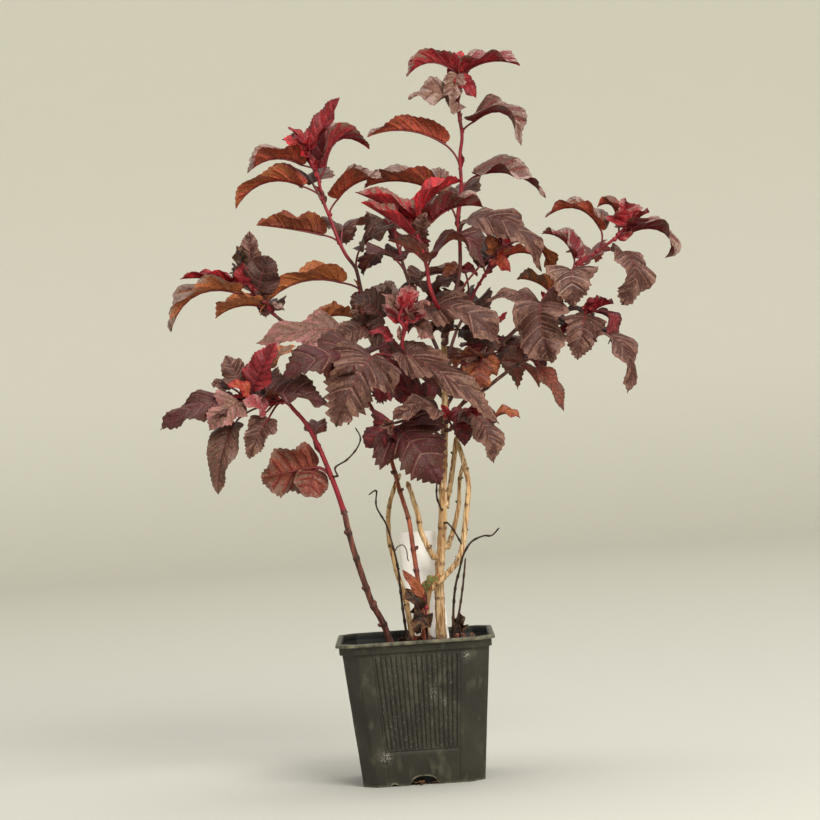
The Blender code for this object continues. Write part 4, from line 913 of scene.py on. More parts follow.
def fullness(part):
    """How high a pleat stands at a part of the way from the midrib to the margin."""
    return math.sin(math.pi * min(part * 1.1 + 0.05, 0.96)) ** 0.6


def blade_skin(spec, at, side, whole, shake):
    """The blade's closed thin skin: places, triangles and the tone of each triangle."""
    veins = 9 if whole > 24 else 7 if whole > 14 else 5
    ends = ((np.arange(veins)[:, None] + VEIN_CELL) / veins).ravel()
    shares = np.append(ends, 1.0)
    tooth = np.append(np.tile(TOOTH, veins), 0.0)
    phase = np.append(np.tile(VEIN_CELL, veins), 0.0)
    pleat = np.append(np.tile(PLEAT_SHAPE, veins), 0.0)
    table = LOBED * spec["lobe"] + OVAL * (1 - spec["lobe"])
    table = ROUND * spec["blunt"] + table * (1 - spec["blunt"])
    wide = spec["wide"] / (2 * EDGE_HALF)
    fine = np.linspace(0, len(table) - 1, 161)
    margin = smooth_rows(table, fine)
    steps = np.hypot(np.diff(margin[:, 1]) * whole, np.diff(margin[:, 2]) * wide)
    arc = np.concatenate(([0.0], np.cumsum(steps)))
    foot, along_at, across_at = smooth_rows(table, np.interp(shares * arc[-1], arc, fine)).T
    foot[[0, -1]] = (0.0, 1.0)
    uneven = np.array([shake.uniform(0.45, 1.5) for _ in range(veins + 1)])
    bite = tooth * TOOTH_SIZE * wide * uneven[np.arange(len(shares)) // len(VEIN_CELL)]
    bite *= np.clip((shares - 0.04) / 0.1, 0, 1) * np.clip((1 - shares) / 0.05, 0, 1) * min(whole / 22, 1)
    bite *= 0.7 + 0.5 * spec["lobe"]
    along_at = along_at + 0.45 * bite / whole
    across_at = np.maximum(across_at * wide + bite, 0.0)
    across_at[[0, -1]] = 0.0
    start, way, rise = at(foot)
    spot, edge_way, edge_rise = at(along_at)
    fold = np.radians(spec["fold"] * (1 - FOLD_EASE * along_at))[:, None]
    # The under tones are the undersides' own warmer colour, made more orange-red as painted light shining through
    # the thin blade.
    inner, outer, under_inner, under_outer, vein = spec["coat"]
    tones = [inner, inner + " to " + outer, outer, under_inner, under_inner + " to " + under_outer,
             under_outer, vein]
    places = []
    ids = {}
    count = len(shares)
    rib_dip = 0.25 * np.sin(np.pi * np.clip(foot, 0, 1))[:, None]
    rib_top = start - rise * rib_dip
    rib_under = rib_top - rise * LEAF_HALF_THICK * 2
    places += [rib_top, rib_under]
    size = 2 * count
    ids["top"] = np.arange(count)
    ids["under"] = np.arange(count) + count
    triangles = []
    colours = []
    edge_ids = []
    sag = shake.uniform(0.5, 1.15)
    for hand in (-1, 1):
        out = side * hand * np.cos(fold) + edge_rise * np.sin(fold)
        normal = edge_rise * np.cos(fold) - side * hand * np.sin(fold)
        rise_over = FAR_HALF_RISE if spec["fold"] >= FOLDED and side[1] * hand > 0 else 1.0
        edge = spot + out * across_at[:, None] * rise_over
        reach = np.linalg.norm(edge - start, axis=1)[:, None]
        wave = shake.uniform(0, 6.3)
        waves = shake.uniform(1.8, 3.4)
        layers = {}
        for v, part in enumerate(ACROSS):
            middle = 4 * part * (1 - part)
            skin = start + (edge - start) * part - way * reach * 0.07 * middle
            lift = reach * 0.075 * middle * sag
            lift = lift + pleat[:, None] * PLEAT * fullness(part) * np.minimum(wide, FULL_PLEAT_REACH * reach)
            lift = lift + (np.sin(waves * 2 * math.pi * shares + wave) * WAVE * spec["crumple"] * wide * part ** 1.6
                           * np.sin(math.pi * shares) ** 0.5)[:, None]
            lift = lift - rib_dip * (1 - part) ** 3
            layers[v] = skin + normal * lift
        grids = {}
        for face, sign in (("top", 1.0), ("under", -1.0)):
            grid = np.zeros((count, len(ACROSS)), dtype=int)
            grid[:, 0] = ids[face]
            for v in range(1, len(ACROSS) - 1):
                part = ACROSS[v]
                thick = LEAF_HALF_THICK * (1 - part ** 3)
                if face == "under":
                    thick = thick + 0.22 * (1 - part) * (phase < 0.01)[:, None]
                places.append(layers[v] + normal * sign * thick)
                grid[:, v] = np.arange(count) + size
                size += count
            grids[face] = grid
        places.append(layers[len(ACROSS) - 1])
        rim = np.arange(count) + size
        size += count
        edge_ids.append(rim)
        for face in ("top", "under"):
            grid = grids[face]
            grid[:, -1] = rim
            grid[0, :] = ids["top"][0]
            grid[-1, :] = ids["top"][-1]
            a, b, c, d = grid[:-1, :-1], grid[1:, :-1], grid[1:, 1:], grid[:-1, 1:]
            pairs = ((a, b, c), (a, c, d)) if (hand > 0) == (face == "under") else ((a, c, b), (a, d, c))
            rows = np.arange(count - 1)[:, None] + np.zeros((1, len(ACROSS) - 1), dtype=int)
            steps_over = np.arange(len(ACROSS) - 1)[None, :] + np.zeros((count - 1, 1), dtype=int)
            cell = rows % len(VEIN_CELL)
            on_vein = ((cell == 0) | (cell == len(VEIN_CELL) - 1)) & (steps_over < len(ACROSS) - 2)
            on_vein &= shares[rows] < VEINLESS_TIP
            far = shares[rows] * 0.36 + ACROSS[steps_over] * 0.5
            rng = np.random.default_rng(shake.randrange(10 ** 6))
            blotch = rng.uniform(-0.2, 0.2, (veins + 1,))[rows // len(VEIN_CELL)]
            # The cell's tone shift paints shade beside the veins and a highlight on the pleat crests.
            far = far + blotch + rng.uniform(-0.12, 0.12, rows.shape) + PLEAT_SHADE_AND_HIGHLIGHT[cell]
            far = far + rng.choice((0.0, 0.0, 0.25), (count - 1, 1)) + 0.15 * (steps_over == len(ACROSS) - 2)
            shift = 0 if face == "top" else 3
            pick = np.where(on_vein, 6, shift + (far > 0.56).astype(int) + (far > 0.74))
            for tri in pairs:
                triangles.append(np.stack(tri, axis=-1).reshape(-1, 3))
                colours.append(pick.reshape(-1))
    tri = np.concatenate(triangles)
    colour = np.concatenate(colours)
    good = (tri[:, 0] != tri[:, 1]) & (tri[:, 1] != tri[:, 2]) & (tri[:, 0] != tri[:, 2])
    return np.concatenate(places), tri[good], [tones[k] for k in colour[good]], np.concatenate(edge_ids)


def petiole_start(run, base, length):
    """The place on the stem, on its foot side, that the leaf stalk leaves from."""
    nearest = min(range(len(run)), key=lambda i: (run[i] - base).length)
    for i in range(nearest, -1, -1):
        if (run[i] - base).length >= length:
            return i
    return 0


def grow_leaf(spec, run, number, shake):
    """One leaf on its stem: the skin of its blade, and the strand of its stalk and midrib."""
    start = petiole_start(run, seen(*spec["base"], run[0].y), PETIOLE)
    depth = run[start].y + spec["out"]
    first = seen(*spec["base"], depth)
    away = min((place - first).length for place in run)
    start = petiole_start(run, first, max(PETIOLE, away * STALK_SLANT))
    base = seen(*spec["base"], depth)
    tip = seen(*spec["tip"], depth + spec["dy"])
    onward = (run[min(start + 1, len(run) - 1)] - run[max(start - 1, 0)]).normalized()
    root = run[start] + onward * (number % STALK_TURNS) * STALK_STEP
    return leaf_parts(spec, root, onward, base, tip, shake)


def leaf_parts(spec, root, onward, base, tip, shake):
    at, side, whole = midrib(spec, base, tip)
    bend = (base - root).length * STALK_BEND
    a = root + onward * bend
    b = base - Vector(at(0.0)[1]) * bend
    strand = []
    radii = []
    for k in range(7):
        t = k / 7
        s = 1 - t
        strand.append(root * s ** 3 + a * 3 * s * s * t + b * 3 * s * t * t + base * t ** 3)
        radii.append(STALK_RADIUS * (1 + 0.55 * math.exp(-6 * t)))
    small = min(1.0, 0.45 + whole / 40)
    for part in (0.0, 0.08, 0.18, 0.3, 0.42, 0.55, 0.68, 0.8, 0.9):
        spot, along, up = at(part)
        dip = 0.25 * math.sin(math.pi * part) + LEAF_HALF_THICK * 2 - 0.1
        strand.append(Vector(spot - up * dip))
        radii.append((STALK_RADIUS * 0.85 * (1 - part) + 0.14) * small)
    return blade_skin(spec, at, side, whole, shake), (strand, radii, [0.0] * len(strand)), (root, onward)


def small_leaf(coat, root, onward, away, long, shake):
    """A young leaf that stands up from its root, with its upper side to the stem."""
    wobble = Vector([shake.uniform(-0.25, 0.25) for _ in range(3)])
    way = (onward * 0.8 + away * shake.uniform(0.45, 0.8) + wobble).normalized()
    base = root + away * 1.4 + way * long * 0.22
    spec = leaf(coat, (0, 0), (0, 0), arch=long * 0.1, wide=long * shake.uniform(0.42, 0.56),
                fold=shake.uniform(20, 45), lobe=0.3)
    spec["lean"] = tuple(onward * 0.5 - away)
    spec["coat"] = COATS[coat]
    return leaf_parts(spec, root, onward, base, base + way * long, shake)


def joined_mesh(name, meshes):
    """Several meshes as one, each keeping its materials."""
    work = bmesh.new()
    materials = []
    for mesh in meshes:
        order = []
        for material in mesh.materials:
            if material not in materials:
                materials.append(material)
            order.append(materials.index(material))
        slots = np.zeros(len(mesh.polygons), dtype=np.int32)
        mesh.polygons.foreach_get("material_index", slots)
        mesh.polygons.foreach_set("material_index", np.array(order, dtype=np.int32)[slots])
        work.from_mesh(mesh)
    whole = bpy.data.meshes.new(name)
    work.to_mesh(whole)
    work.free()
    for material in materials:
        whole.materials.append(material)
    return whole


def leaves_piece(name, skins):
    """The leaves of one shoot as one piece, each face in its plain tone."""
    places = []
    triangles = []
    tones = []
    rims = []
    start = 0
    for spots, tri, colours, rim in skins:
        places.append(spots)
        triangles.append(tri + start)
        rims.append(rim + start)
        tones += colours
        start += len(spots)
    mesh = bpy.data.meshes.new(name)
    mesh.from_pydata(np.concatenate(places) * MM, [], np.concatenate(triangles))
    used = sorted(set(tones))
    for tint in used:
        mesh.materials.append(leaf_paint(tint))
    order = {tint: k for k, tint in enumerate(used)}
    mesh.polygons.foreach_set("material_index", np.array([order[tint] for tint in tones], dtype=np.int32))
    mesh.shade_smooth()
    on_rim = np.zeros(start, dtype=bool)
    on_rim[np.concatenate(rims)] = True
    ends = np.zeros(len(mesh.edges) * 2, dtype=np.int32)
    mesh.edges.foreach_get("vertices", ends)
    sharp = on_rim[ends.reshape(-1, 2)].all(axis=1)
    layer = mesh.attributes.new("sharp_edge", "BOOLEAN", "EDGE")
    layer.data.foreach_set("value", sharp)
    thing = bpy.data.objects.new(name, mesh)
    bpy.context.scene.collection.objects.link(thing)
    return thing


crimson = weathered("crimson shoot", tone(132, 26, 38), [
    (tone(156, 48, 52), 400.0, (1, 1, 0.2), 0.52, 0.75, None),
    (tone(90, 24, 30), 500.0, (1, 1, 0.3), 0.52, 0.72, None)], 0.45, (1200.0, 0.2), 0.35)
ripe_stem = weathered("dark red shoot", tone(78, 34, 31), [
    (tone(112, 52, 44), 400.0, (1, 1, 0.2), 0.5, 0.72, None),
    (tone(44, 24, 22), 500.0, (1, 1, 0.3), 0.52, 0.72, None)], 0.5, (1200.0, 0.3), 0.35)
stalk_red = weathered("leaf stalk", tone(116, 34, 38), [
    (tone(74, 26, 30), 340.0, (1, 1, 1), 0.45, 0.7, None)], 0.5, (1200.0, 0.2), 0.35)


def shoot(name, spots, radii, leaves, meets=(), young_from=300.0, seed=1, slot="purple_leaves",
          ripe=None, tip_coat="red"):
    """One shoot: its stem, stalks and axil twigs as one piece, its blades as another. Young leaves
    stand round its tip and in some of its axils."""
    shake = random.Random(seed)
    strand, nodes = rooted_strand(name, spots, radii, meets, 400.0, 0.0, seed, tip=0.55)
    own = smooth_path([seen(*spot) for spot in spots], 2)
    skins = []
    stalks = []
    young = []
    for number, spec in enumerate(leaves):
        row = dict(spec, coat=COATS[spec["coat"]])
        skin, stalk, (root, onward) = grow_leaf(row, own, number, shake)
        skins.append(skin)
        stalks.append(stalk)
        away = (stalk[0][3] - stalk[0][0]).normalized()
        stub_places["young"].append((root + away * radii[0] * 0.6, (onward + away * 0.6).normalized(), 0.9))
        if tip_coat and shake.random() < AXIL_LEAF_SHARE:
            coat = shake.choice((tip_coat, "dark red", spec["coat"]))
            young.append((coat, root, onward, away, shake.uniform(6, 11)))
    if tip_coat:
        ahead = (own[-1] - own[-2]).normalized()
        for k in range(TIP_LEAVES):
            away = Matrix.Rotation(2 * math.pi * (k + shake.uniform(-0.2, 0.2)) / TIP_LEAVES, 3, ahead) \
                @ ahead.orthogonal().normalized()
            young.append((tip_coat, own[-1] - ahead * 0.6 * k, ahead, away * 0.7, shake.uniform(5, 9.5)))
    for coat, root, onward, away, long in young:
        skin, stalk, _ = small_leaf(coat, root, onward, away, long, shake)
        skins.append(skin)
        stalks.append((stalk[0], [radius * 0.55 for radius in stalk[1]], stalk[2]))
    run, thick, marks = strand
    split = next((k for k, place in enumerate(run) if place.z > young_from), len(run) - 1)
    meshes = []
    if split > 1:
        part = (run[:split + 1], thick[:split + 1], marks[:split + 1])
        meshes.append(skinned(name + "_ripe", [part], ripe or ripe_stem, 12, 0.14, 700.0, seed))
    if split < len(run) - 2:
        part = (run[split:], thick[split:], marks[split:])
        meshes.append(skinned(name + "_young", [part], crimson, 12, 0.12, 700.0, seed))
    meshes.append(skinned(name + "_stalks", stalks, stalk_red, 6, 0.0, 700.0, seed))
    whole = bpy.data.objects.new(name + "_twigs", joined_mesh(name + "_twigs", [m.data for m in meshes]))
    bpy.context.scene.collection.objects.link(whole)
    for part in meshes:
        bpy.data.objects.remove(part)
    stands_for(whole, slot, name)
    stands_for(leaves_piece(name + "_blades", skins), slot, name)


shoot("top_shoot", [(28, 251, 6), (34, 268, 8), (39.5, 285, 10), (41, 300, 11), (41, 318, 11), (44, 334, 10),
                    (44.5, 352, 10), (46.5, 364, 10), (45.5, 378, 10), (46, 390, 10), (48, 401, 10)],
      (1.2, 0.95), [
    leaf("red, grey edge", (46, 400), (17, 400), dy=-6, arch=8, wide=19, tilt=-10, fold=50, lobe=0.5),
    leaf("red, grey edge", (50, 400), (82.5, 402), dy=-8, arch=5, wide=20, tilt=8, fold=35),
    leaf("grey, brown edge", (45, 383), (17, 387), dy=-6, arch=6, wide=30, tilt=38, fold=8),
    leaf("grey, brown edge", (46, 399), (40, 381), out=-4, dy=-3, arch=2, wide=13, tilt=70, fold=10, lobe=0.4),
    leaf("red", (47, 397), (56, 385), out=-3, dy=-4, arch=2, wide=11, tilt=60, fold=20, lobe=0.3),
    leaf("orange, grey top", (35, 361), (-8, 367), dy=-12, arch=6, wide=20, tilt=-10, fold=50, lobe=0.6),
    leaf("dark red, grey edge", (54, 372), (80, 356), dy=-8, arch=14, wide=24, tilt=22, fold=30, lobe=0.4),
    leaf("dark red, grey edge", (54, 341), (92, 325), dy=2, arch=8, wide=24, tilt=25, fold=30, lobe=0.4),
    leaf("orange, grey top", (31, 332), (-12, 338), dy=20, arch=6, wide=25, tilt=0, fold=45),
    leaf("mauve", (46, 315), (87, 283), out=-4, dy=-14, arch=15, wide=32, tilt=25, fold=-5, lobe=0.7),
    leaf("amber", (87, 297), (90, 271), out=8, dy=6, arch=4, wide=14, tilt=10, turn=70, fold=20, lobe=0.3),
    leaf("young red", (44, 397), (38, 411), out=8, dy=16, arch=4, wide=16, tilt=-20, fold=40, lobe=0.4),
    leaf("mauve", (43, 330), (36, 321), out=14, dy=40, arch=8, wide=28, fold=20),
], meets=["main_stem"], seed=101)

shoot("upper_left_shoot", [(-17, 277, 22), (-19, 290, 23), (-20.5, 294, 23), (-25, 301, 23), (-29, 311, 24),
                           (-32, 321, 25), (-35.5, 332, 26), (-37, 341, 26), (-38, 348, 26), (-42, 357, 26),
                           (-42, 362, 26)], (1.1, 0.9), [
    leaf("red", (-40, 363), (-22, 391), dy=-4, arch=-1, wide=14, tilt=30, fold=35, blunt=0.7),
    leaf("red", (-42, 363), (-53, 376), dy=-2, arch=1, wide=9, tilt=30, fold=30, lobe=0.3),
    leaf("young red", (-44, 358), (-57, 369), dy=-8, arch=3, wide=14, tilt=40, fold=20, lobe=0.6),
    leaf("orange, grey top", (-47, 354), (-78, 351), dy=-10, arch=6, wide=22, fold=45),
    leaf("orange red", (-48, 342), (-86, 331), dy=8, arch=9, wide=20, fold=45),
    leaf("orange brown", (-38, 313), (-75, 321), dy=-12, arch=1, wide=23, fold=50),
    leaf("red, grey edge", (-33, 352), (-7, 360), dy=10, arch=12, wide=24, fold=40),
    leaf("orange, grey top", (-27, 333), (-1, 343), dy=-10, arch=4, wide=24, tilt=10, fold=40),
    leaf("dark purple", (-15, 305), (9, 314), dy=-12, arch=3, wide=26, tilt=30, fold=10),
    leaf("amber", (-29, 285), (-77, 270), dy=-16, arch=9, wide=22, fold=45, tilt=-5, lobe=0.6, blunt=0.2),
    leaf("red", (-41, 362), (-27, 378), dy=8, arch=0, wide=8, fold=30, lobe=0.2),
    leaf("mauve", (-41, 343), (-47, 340), out=16, dy=36, arch=6, wide=26, fold=15),
    leaf("mauve", (-26, 314), (-24, 306), out=14, dy=34, arch=7, wide=26, fold=15),
    leaf("dark red", (-42, 360), (-48, 364), out=10, dy=24, arch=5, wide=20, fold=35),
], meets=["upper_left_bough"], seed=102)

shoot("front_shoot", [(29.5, 246, 1), (30, 253, -6), (30, 259, -14), (26, 267, -28), (24, 272, -34),
                      (22, 280, -36), (21, 291, -37), (19, 302, -38), (17, 309, -38), (18, 316, -38)],
      (1.3, 1.0), [
    leaf("red, mauve edge", (17, 314), (-17, 336), dy=6, arch=2, wide=18, fold=55, tilt=10, lobe=0.4),
    leaf("red, mauve edge", (13, 310), (-14, 330), out=-3, dy=-6, arch=1, wide=15, fold=50, tilt=15, lobe=0.4),
    leaf("dark red, grey edge", (26, 316), (57, 322), dy=-4, arch=5, wide=24, fold=45),
    leaf("young red", (19, 318), (45, 338), dy=6, arch=5, wide=20, fold=45, lobe=0.5),
    leaf("mauve", (19, 310), (23, 322), dy=-6, arch=1, wide=12, fold=30, tilt=60, lobe=0.2),
    leaf("mauve", (19, 295), (0, 307), dy=4, arch=2, wide=17, tilt=-25, fold=30, lobe=0.5),
    leaf("purple, pale veins", (25, 296), (54, 285), dy=-8, arch=17, wide=26, tilt=20, fold=10),
    leaf("mauve", (18, 266), (61, 242), out=-10, dy=-12, arch=13, wide=36, tilt=40, fold=0),
    leaf("dark purple", (22, 273), (9, 283), out=-2, dy=-8, arch=2, wide=16, tilt=30, fold=20, lobe=0.6),
    leaf("dark purple", (25, 275), (38, 281), out=-4, dy=-4, arch=3, wide=15, tilt=35, fold=20, lobe=0.6),
    leaf("mauve, pale veins", (34, 256), (13, 250), out=-14, dy=-6, arch=3, wide=16, tilt=45, fold=15, lobe=0.6),
    leaf("dark purple", (39, 253), (60, 240), out=-12, dy=-4, arch=4, wide=18, tilt=45, fold=0, lobe=0.5),
], meets=["main_stem"], young_from=260.0, seed=103)

shoot("middle_red_shoot", [(21, 205, 1), (14, 219, -12), (8, 236, -24), (4, 246, -30), (6, 256, -34),
                           (3, 262, -36), (6, 268, -37)], (1.2, 0.9), [
    leaf("red, rose edge", (6, 261), (11, 281), dy=-4, arch=1, wide=22, tilt=70, fold=25, lobe=0.8, crumple=2.2),
    leaf("pale rose", (10, 262), (22, 270), dy=-2, arch=2, wide=10, tilt=50, fold=30, lobe=0.4, crumple=2.2),
    leaf("pale rose", (10, 259), (23, 248), dy=-5, arch=3, wide=12, tilt=60, fold=10, lobe=0.5, crumple=2.2),
    leaf("pale rose", (4, 264), (-6, 277), dy=-2, arch=2, wide=8, tilt=50, fold=20, lobe=0.3, crumple=2.0),
    leaf("red", (-2, 251), (-15, 255), dy=-5, arch=2, wide=10, tilt=50, fold=20, lobe=0.5, crumple=1.6),
    leaf("mauve", (-14, 241), (-37, 202), out=-14, dy=-10, arch=9, wide=42, tilt=60, fold=0),
    leaf("mauve", (4, 242), (57, 197), out=-8, dy=-12, arch=8, wide=23, tilt=50, fold=8),
    leaf("purple, pale veins", (-25, 242), (-67, 233), out=-6, dy=-14, arch=6, wide=32, tilt=50, fold=0),
    leaf("dark red", (2, 233), (-13, 214), out=4, dy=-2, arch=4, wide=26, tilt=70, fold=10),
], meets=["main_stem"], young_from=245.0, seed=104)

shoot("middle_left_leaves", [(-11, 252, 16), (-15, 258, 6), (-17, 262, -4), (-18, 266, -10)], (0.9, 0.8), [
    leaf("pale rose", (-30, 257), (-80, 253), out=-4, dy=-8, arch=5, wide=24, tilt=50, fold=0, lobe=0.4),
    leaf("dark purple", (-6, 263), (-24, 276), out=-2, dy=-8, arch=4, wide=28, tilt=55, fold=5),
    leaf("pale mauve", (-8, 268), (2, 283), out=2, dy=4, arch=2, wide=22, tilt=60, fold=10, lobe=0.6),
    leaf("mauve", (-9, 258), (-36, 250), out=-10, dy=-6, arch=5, wide=26, tilt=55, fold=0, lobe=0.6),
], meets=["upper_left_bough"], seed=105, tip_coat="mauve")

shoot("front_low_leaves", [(22, 193, -1), (14, 200, -14), (4, 203, -28), (-4, 202, -36)], (1.1, 0.8), [
    leaf("purple, pale veins", (-1, 199), (20, 165), out=-6, dy=-8, arch=6, wide=42, tilt=65, fold=0),
    leaf("dark red", (-4, 200), (-21, 189), out=-4, dy=-6, arch=4, wide=26, tilt=60, fold=0),
    leaf("mauve", (-3, 198), (-4, 181), out=-2, dy=-3, arch=3, wide=15, tilt=70, fold=5, lobe=0.5),
    leaf("mauve", (22, 208), (-5, 203), out=-20, dy=-10, arch=7, wide=20, tilt=40, fold=0, lobe=0.6),
    leaf("dark red", (15, 210), (-2, 222), out=-6, dy=-6, arch=4, wide=26, tilt=60, fold=5),
], meets=["main_stem"], seed=106, tip_coat="mauve")

shoot("front_right_leaves", [(28.5, 196, -1), (34, 202, -14), (40, 206, -26)], (1.0, 0.7), [
    leaf("dark red", (36, 207), (36, 186), out=-2, dy=-5, arch=4, wide=16, tilt=70, fold=10, lobe=0.5),
    leaf("mauve", (40, 206), (52, 175), out=-4, dy=-8, arch=7, wide=24, tilt=60, turn=30, fold=0, lobe=0.7),
    leaf("young red", (27, 204), (24, 211), out=-10, dy=-3, arch=1, wide=6, tilt=60, fold=20, lobe=0.2),
    leaf("orange brown", (55, 202), (69, 200), out=-2, dy=-4, arch=3, wide=11, tilt=30, fold=20, lobe=0.2),
], meets=["main_stem", "right_low_bough"], seed=107)

shoot("dry_curled_leaves", [(47, 234, -3), (48, 237, -9)], (0.7, 0.6), [
    leaf("dry", (48, 236), (32, 228), out=-2, dy=-3, arch=5, wide=9, tilt=30, fold=35, lobe=0.3, crumple=1.6),
    leaf("dry", (48, 234), (46, 216), out=-6, dy=-5, arch=6, wide=18, tilt=70, fold=-30, lobe=0.3, crumple=1.6),
    leaf("orange brown", (52, 235), (57, 225), out=2, dy=-3, arch=5, wide=10, tilt=60, fold=10, lobe=0.3),
], meets=["right_high_bough"], seed=108, slot="dry_leaves", ripe=dry_bark,
      tip_coat=None)

shoot("middle_right_shoot", [(31, 241, 12), (36, 253, 24), (42, 263, 34), (47, 273, 40), (53, 282, 43),
                             (60, 291, 44), (64, 297, 44)], (1.0, 0.8), [
    leaf("orange red", (64, 291), (84, 292), dy=-6, arch=4, wide=14, fold=40, lobe=0.4),
    leaf("young red", (66, 297), (81, 303), dy=4, arch=2, wide=14, fold=40, lobe=0.4),
    leaf("orange brown", (61, 296), (57, 307), dy=-4, arch=1, wide=11, tilt=60, fold=20, lobe=0.3),
    leaf("dark red", (66, 301), (47, 311), dy=-6, arch=4, wide=20, tilt=30, fold=20, lobe=0.6),
    leaf("orange red", (60, 292), (69, 284), dy=-6, arch=2, wide=10, tilt=60, fold=20, lobe=0.2),
    leaf("orange brown", (39, 290), (31, 281), out=-6, dy=-6, arch=2, wide=11, tilt=30, fold=20, lobe=0.3),
    leaf("red", (40, 287), (50, 283), out=-6, dy=-4, arch=2, wide=11, tilt=30, fold=20, lobe=0.3),
    leaf("dark purple", (44, 262), (34, 266), out=14, dy=34, arch=8, wide=30, fold=20),
    leaf("dark purple", (57, 290), (66, 296), out=12, dy=36, arch=10, wide=28, fold=20),
], meets=["main_stem", "right_high_bough"], young_from=270.0, seed=109, slot="red_leaves")

shoot("right_shoot", [(97, 275, 0), (104, 281.5, 0), (110, 287, 0), (118, 291.5, 0), (125, 296, 0),
                      (131, 300, 0), (137, 306, 0)], (0.95, 0.9), [
    leaf("orange, grey top", (122, 306), (91, 314), dy=8, arch=9, wide=17, fold=35, lobe=0.6),
    leaf("dark red, grey edge", (139, 302), (158, 286), dy=-6, arch=12, wide=20, fold=30, curl=0.45, lobe=0.2,
         blunt=0.6),
    leaf("red, rose edge", (137, 306), (138, 322), dy=-4, arch=-1, wide=24, fold=30, tilt=50, crumple=1.8),
    leaf("dark red", (140, 305), (151, 313), dy=6, arch=2, wide=14, fold=40, lobe=0.4),
    leaf("brown", (132, 312), (121, 318), dy=4, arch=5, wide=12, fold=40, lobe=0.3),
    leaf("mauve", (133, 291), (131, 261), out=-8, dy=-10, arch=12, wide=26, tilt=60, turn=50, fold=5, lobe=0.4,
         blunt=0.5),
    leaf("red, grey edge", (106, 290), (88, 305), dy=10, arch=5, wide=16, fold=35, lobe=0.6),
    leaf("mauve, pale veins", (104, 283), (103, 261), out=-12, dy=-12, arch=8, wide=28, tilt=65, fold=0, lobe=0.7),
    leaf("olive brown", (91, 271), (72, 280), out=10, dy=8, arch=3, wide=18, tilt=-20, fold=35, lobe=0.6),
    leaf("brown", (97, 273), (92, 262), out=6, dy=4, arch=2, wide=11, tilt=60, fold=10, lobe=0.3),
    leaf("mauve", (85, 265), (89, 230), out=-20, dy=-8, arch=7, wide=30, tilt=70, turn=-25, fold=8, lobe=0.3,
         blunt=0.5, crumple=1.6),
    leaf("brown", (115, 288), (118, 286), out=14, dy=38, arch=7, wide=26, fold=15),
], meets=["right_high_bough"], young_from=270.0, seed=110)

shoot("bough_leaf", [(90, 266.5, -3), (89, 266, -7)], (0.7, 0.6), [
    leaf("mauve", (84, 265), (53, 268), dy=-6, arch=6, wide=13, tilt=40, fold=0, lobe=0.4),
], meets=["right_high_bough"], seed=111)

shoot("right_low_shoot", [(78, 235, -9), (90, 243, -9), (101, 252, -10), (112, 259, -12)], (0.9, 0.8), [
    leaf("dark red", (113, 257), (127, 262), dy=-6, arch=2, wide=13, fold=40, lobe=0.4),
    leaf("red", (112, 258), (119, 267), dy=6, arch=1, wide=10, fold=30, lobe=0.3),
    leaf("mauve", (110, 256), (104, 231), out=-6, dy=-8, arch=6, wide=24, tilt=65, fold=0, lobe=0.7),
    leaf("dark", (111, 257), (99, 260), dy=8, arch=2, wide=12, tilt=20, fold=20, lobe=0.4),
    leaf("dark red", (117, 258), (122, 239), dy=-6, arch=8, wide=15, tilt=45, turn=50, fold=15, lobe=0.3),
    leaf("mauve", (114, 247), (131, 210), out=-4, dy=-10, arch=13, wide=24, tilt=50, turn=50, fold=0, lobe=0.5),
    leaf("brown", (82, 228), (94, 202), out=-4, dy=-8, arch=4, wide=11, tilt=60, turn=20, fold=10, lobe=0.3),
    leaf("dark purple", (100, 250), (112, 236), out=10, dy=30, arch=9, wide=24, fold=20),
], meets=["right_low_bough"], young_from=240.0, seed=112)

shoot("left_shoot", [(-57, 261, 10), (-63, 264.5, 10), (-69, 270, 9), (-73, 275.5, 8), (-77, 281, 8),
                     (-79, 286, 8)], (1.0, 0.8), [
    leaf("red", (-92, 289), (-121, 293), dy=-6, arch=2, wide=12, fold=40, lobe=0.3),
    leaf("amber, grey top", (-89, 283), (-128, 263), dy=-8, arch=11, wide=24, fold=35, lobe=0.6),
    leaf("amber", (-75, 274), (-102, 269), dy=10, arch=4, wide=22, fold=40),
    leaf("mauve", (-80, 300), (-79, 318), dy=2, arch=0, wide=13, tilt=75, fold=15, lobe=0.3),
    leaf("dead", (-84, 298), (-87, 310), dy=-4, arch=1, wide=9, tilt=60, fold=20, lobe=0.2),
    leaf("red", (-85, 288), (-84, 300), dy=-5, arch=0, wide=12, tilt=75, fold=15, lobe=0.2),
    leaf("dark purple", (-77, 283), (-69, 303), dy=-5, arch=1, wide=20, tilt=75, fold=5, lobe=0.1, blunt=0.9),
    leaf("pale mauve", (-71, 273), (-62, 271), dy=-6, arch=1, wide=9, tilt=10, fold=30, lobe=0.4),
    leaf("amber", (-40, 265), (-23, 264), out=2, dy=10, arch=2, wide=18, tilt=-10, fold=45, lobe=0.6),
    leaf("dark purple", (-70, 272), (-73, 267), out=14, dy=38, arch=6, wide=20, fold=15),
    leaf("dark purple", (-78, 286), (-88, 284), out=14, dy=34, arch=9, wide=24, fold=25),
], meets=["red_brown_stem"], young_from=270.0, seed=113)

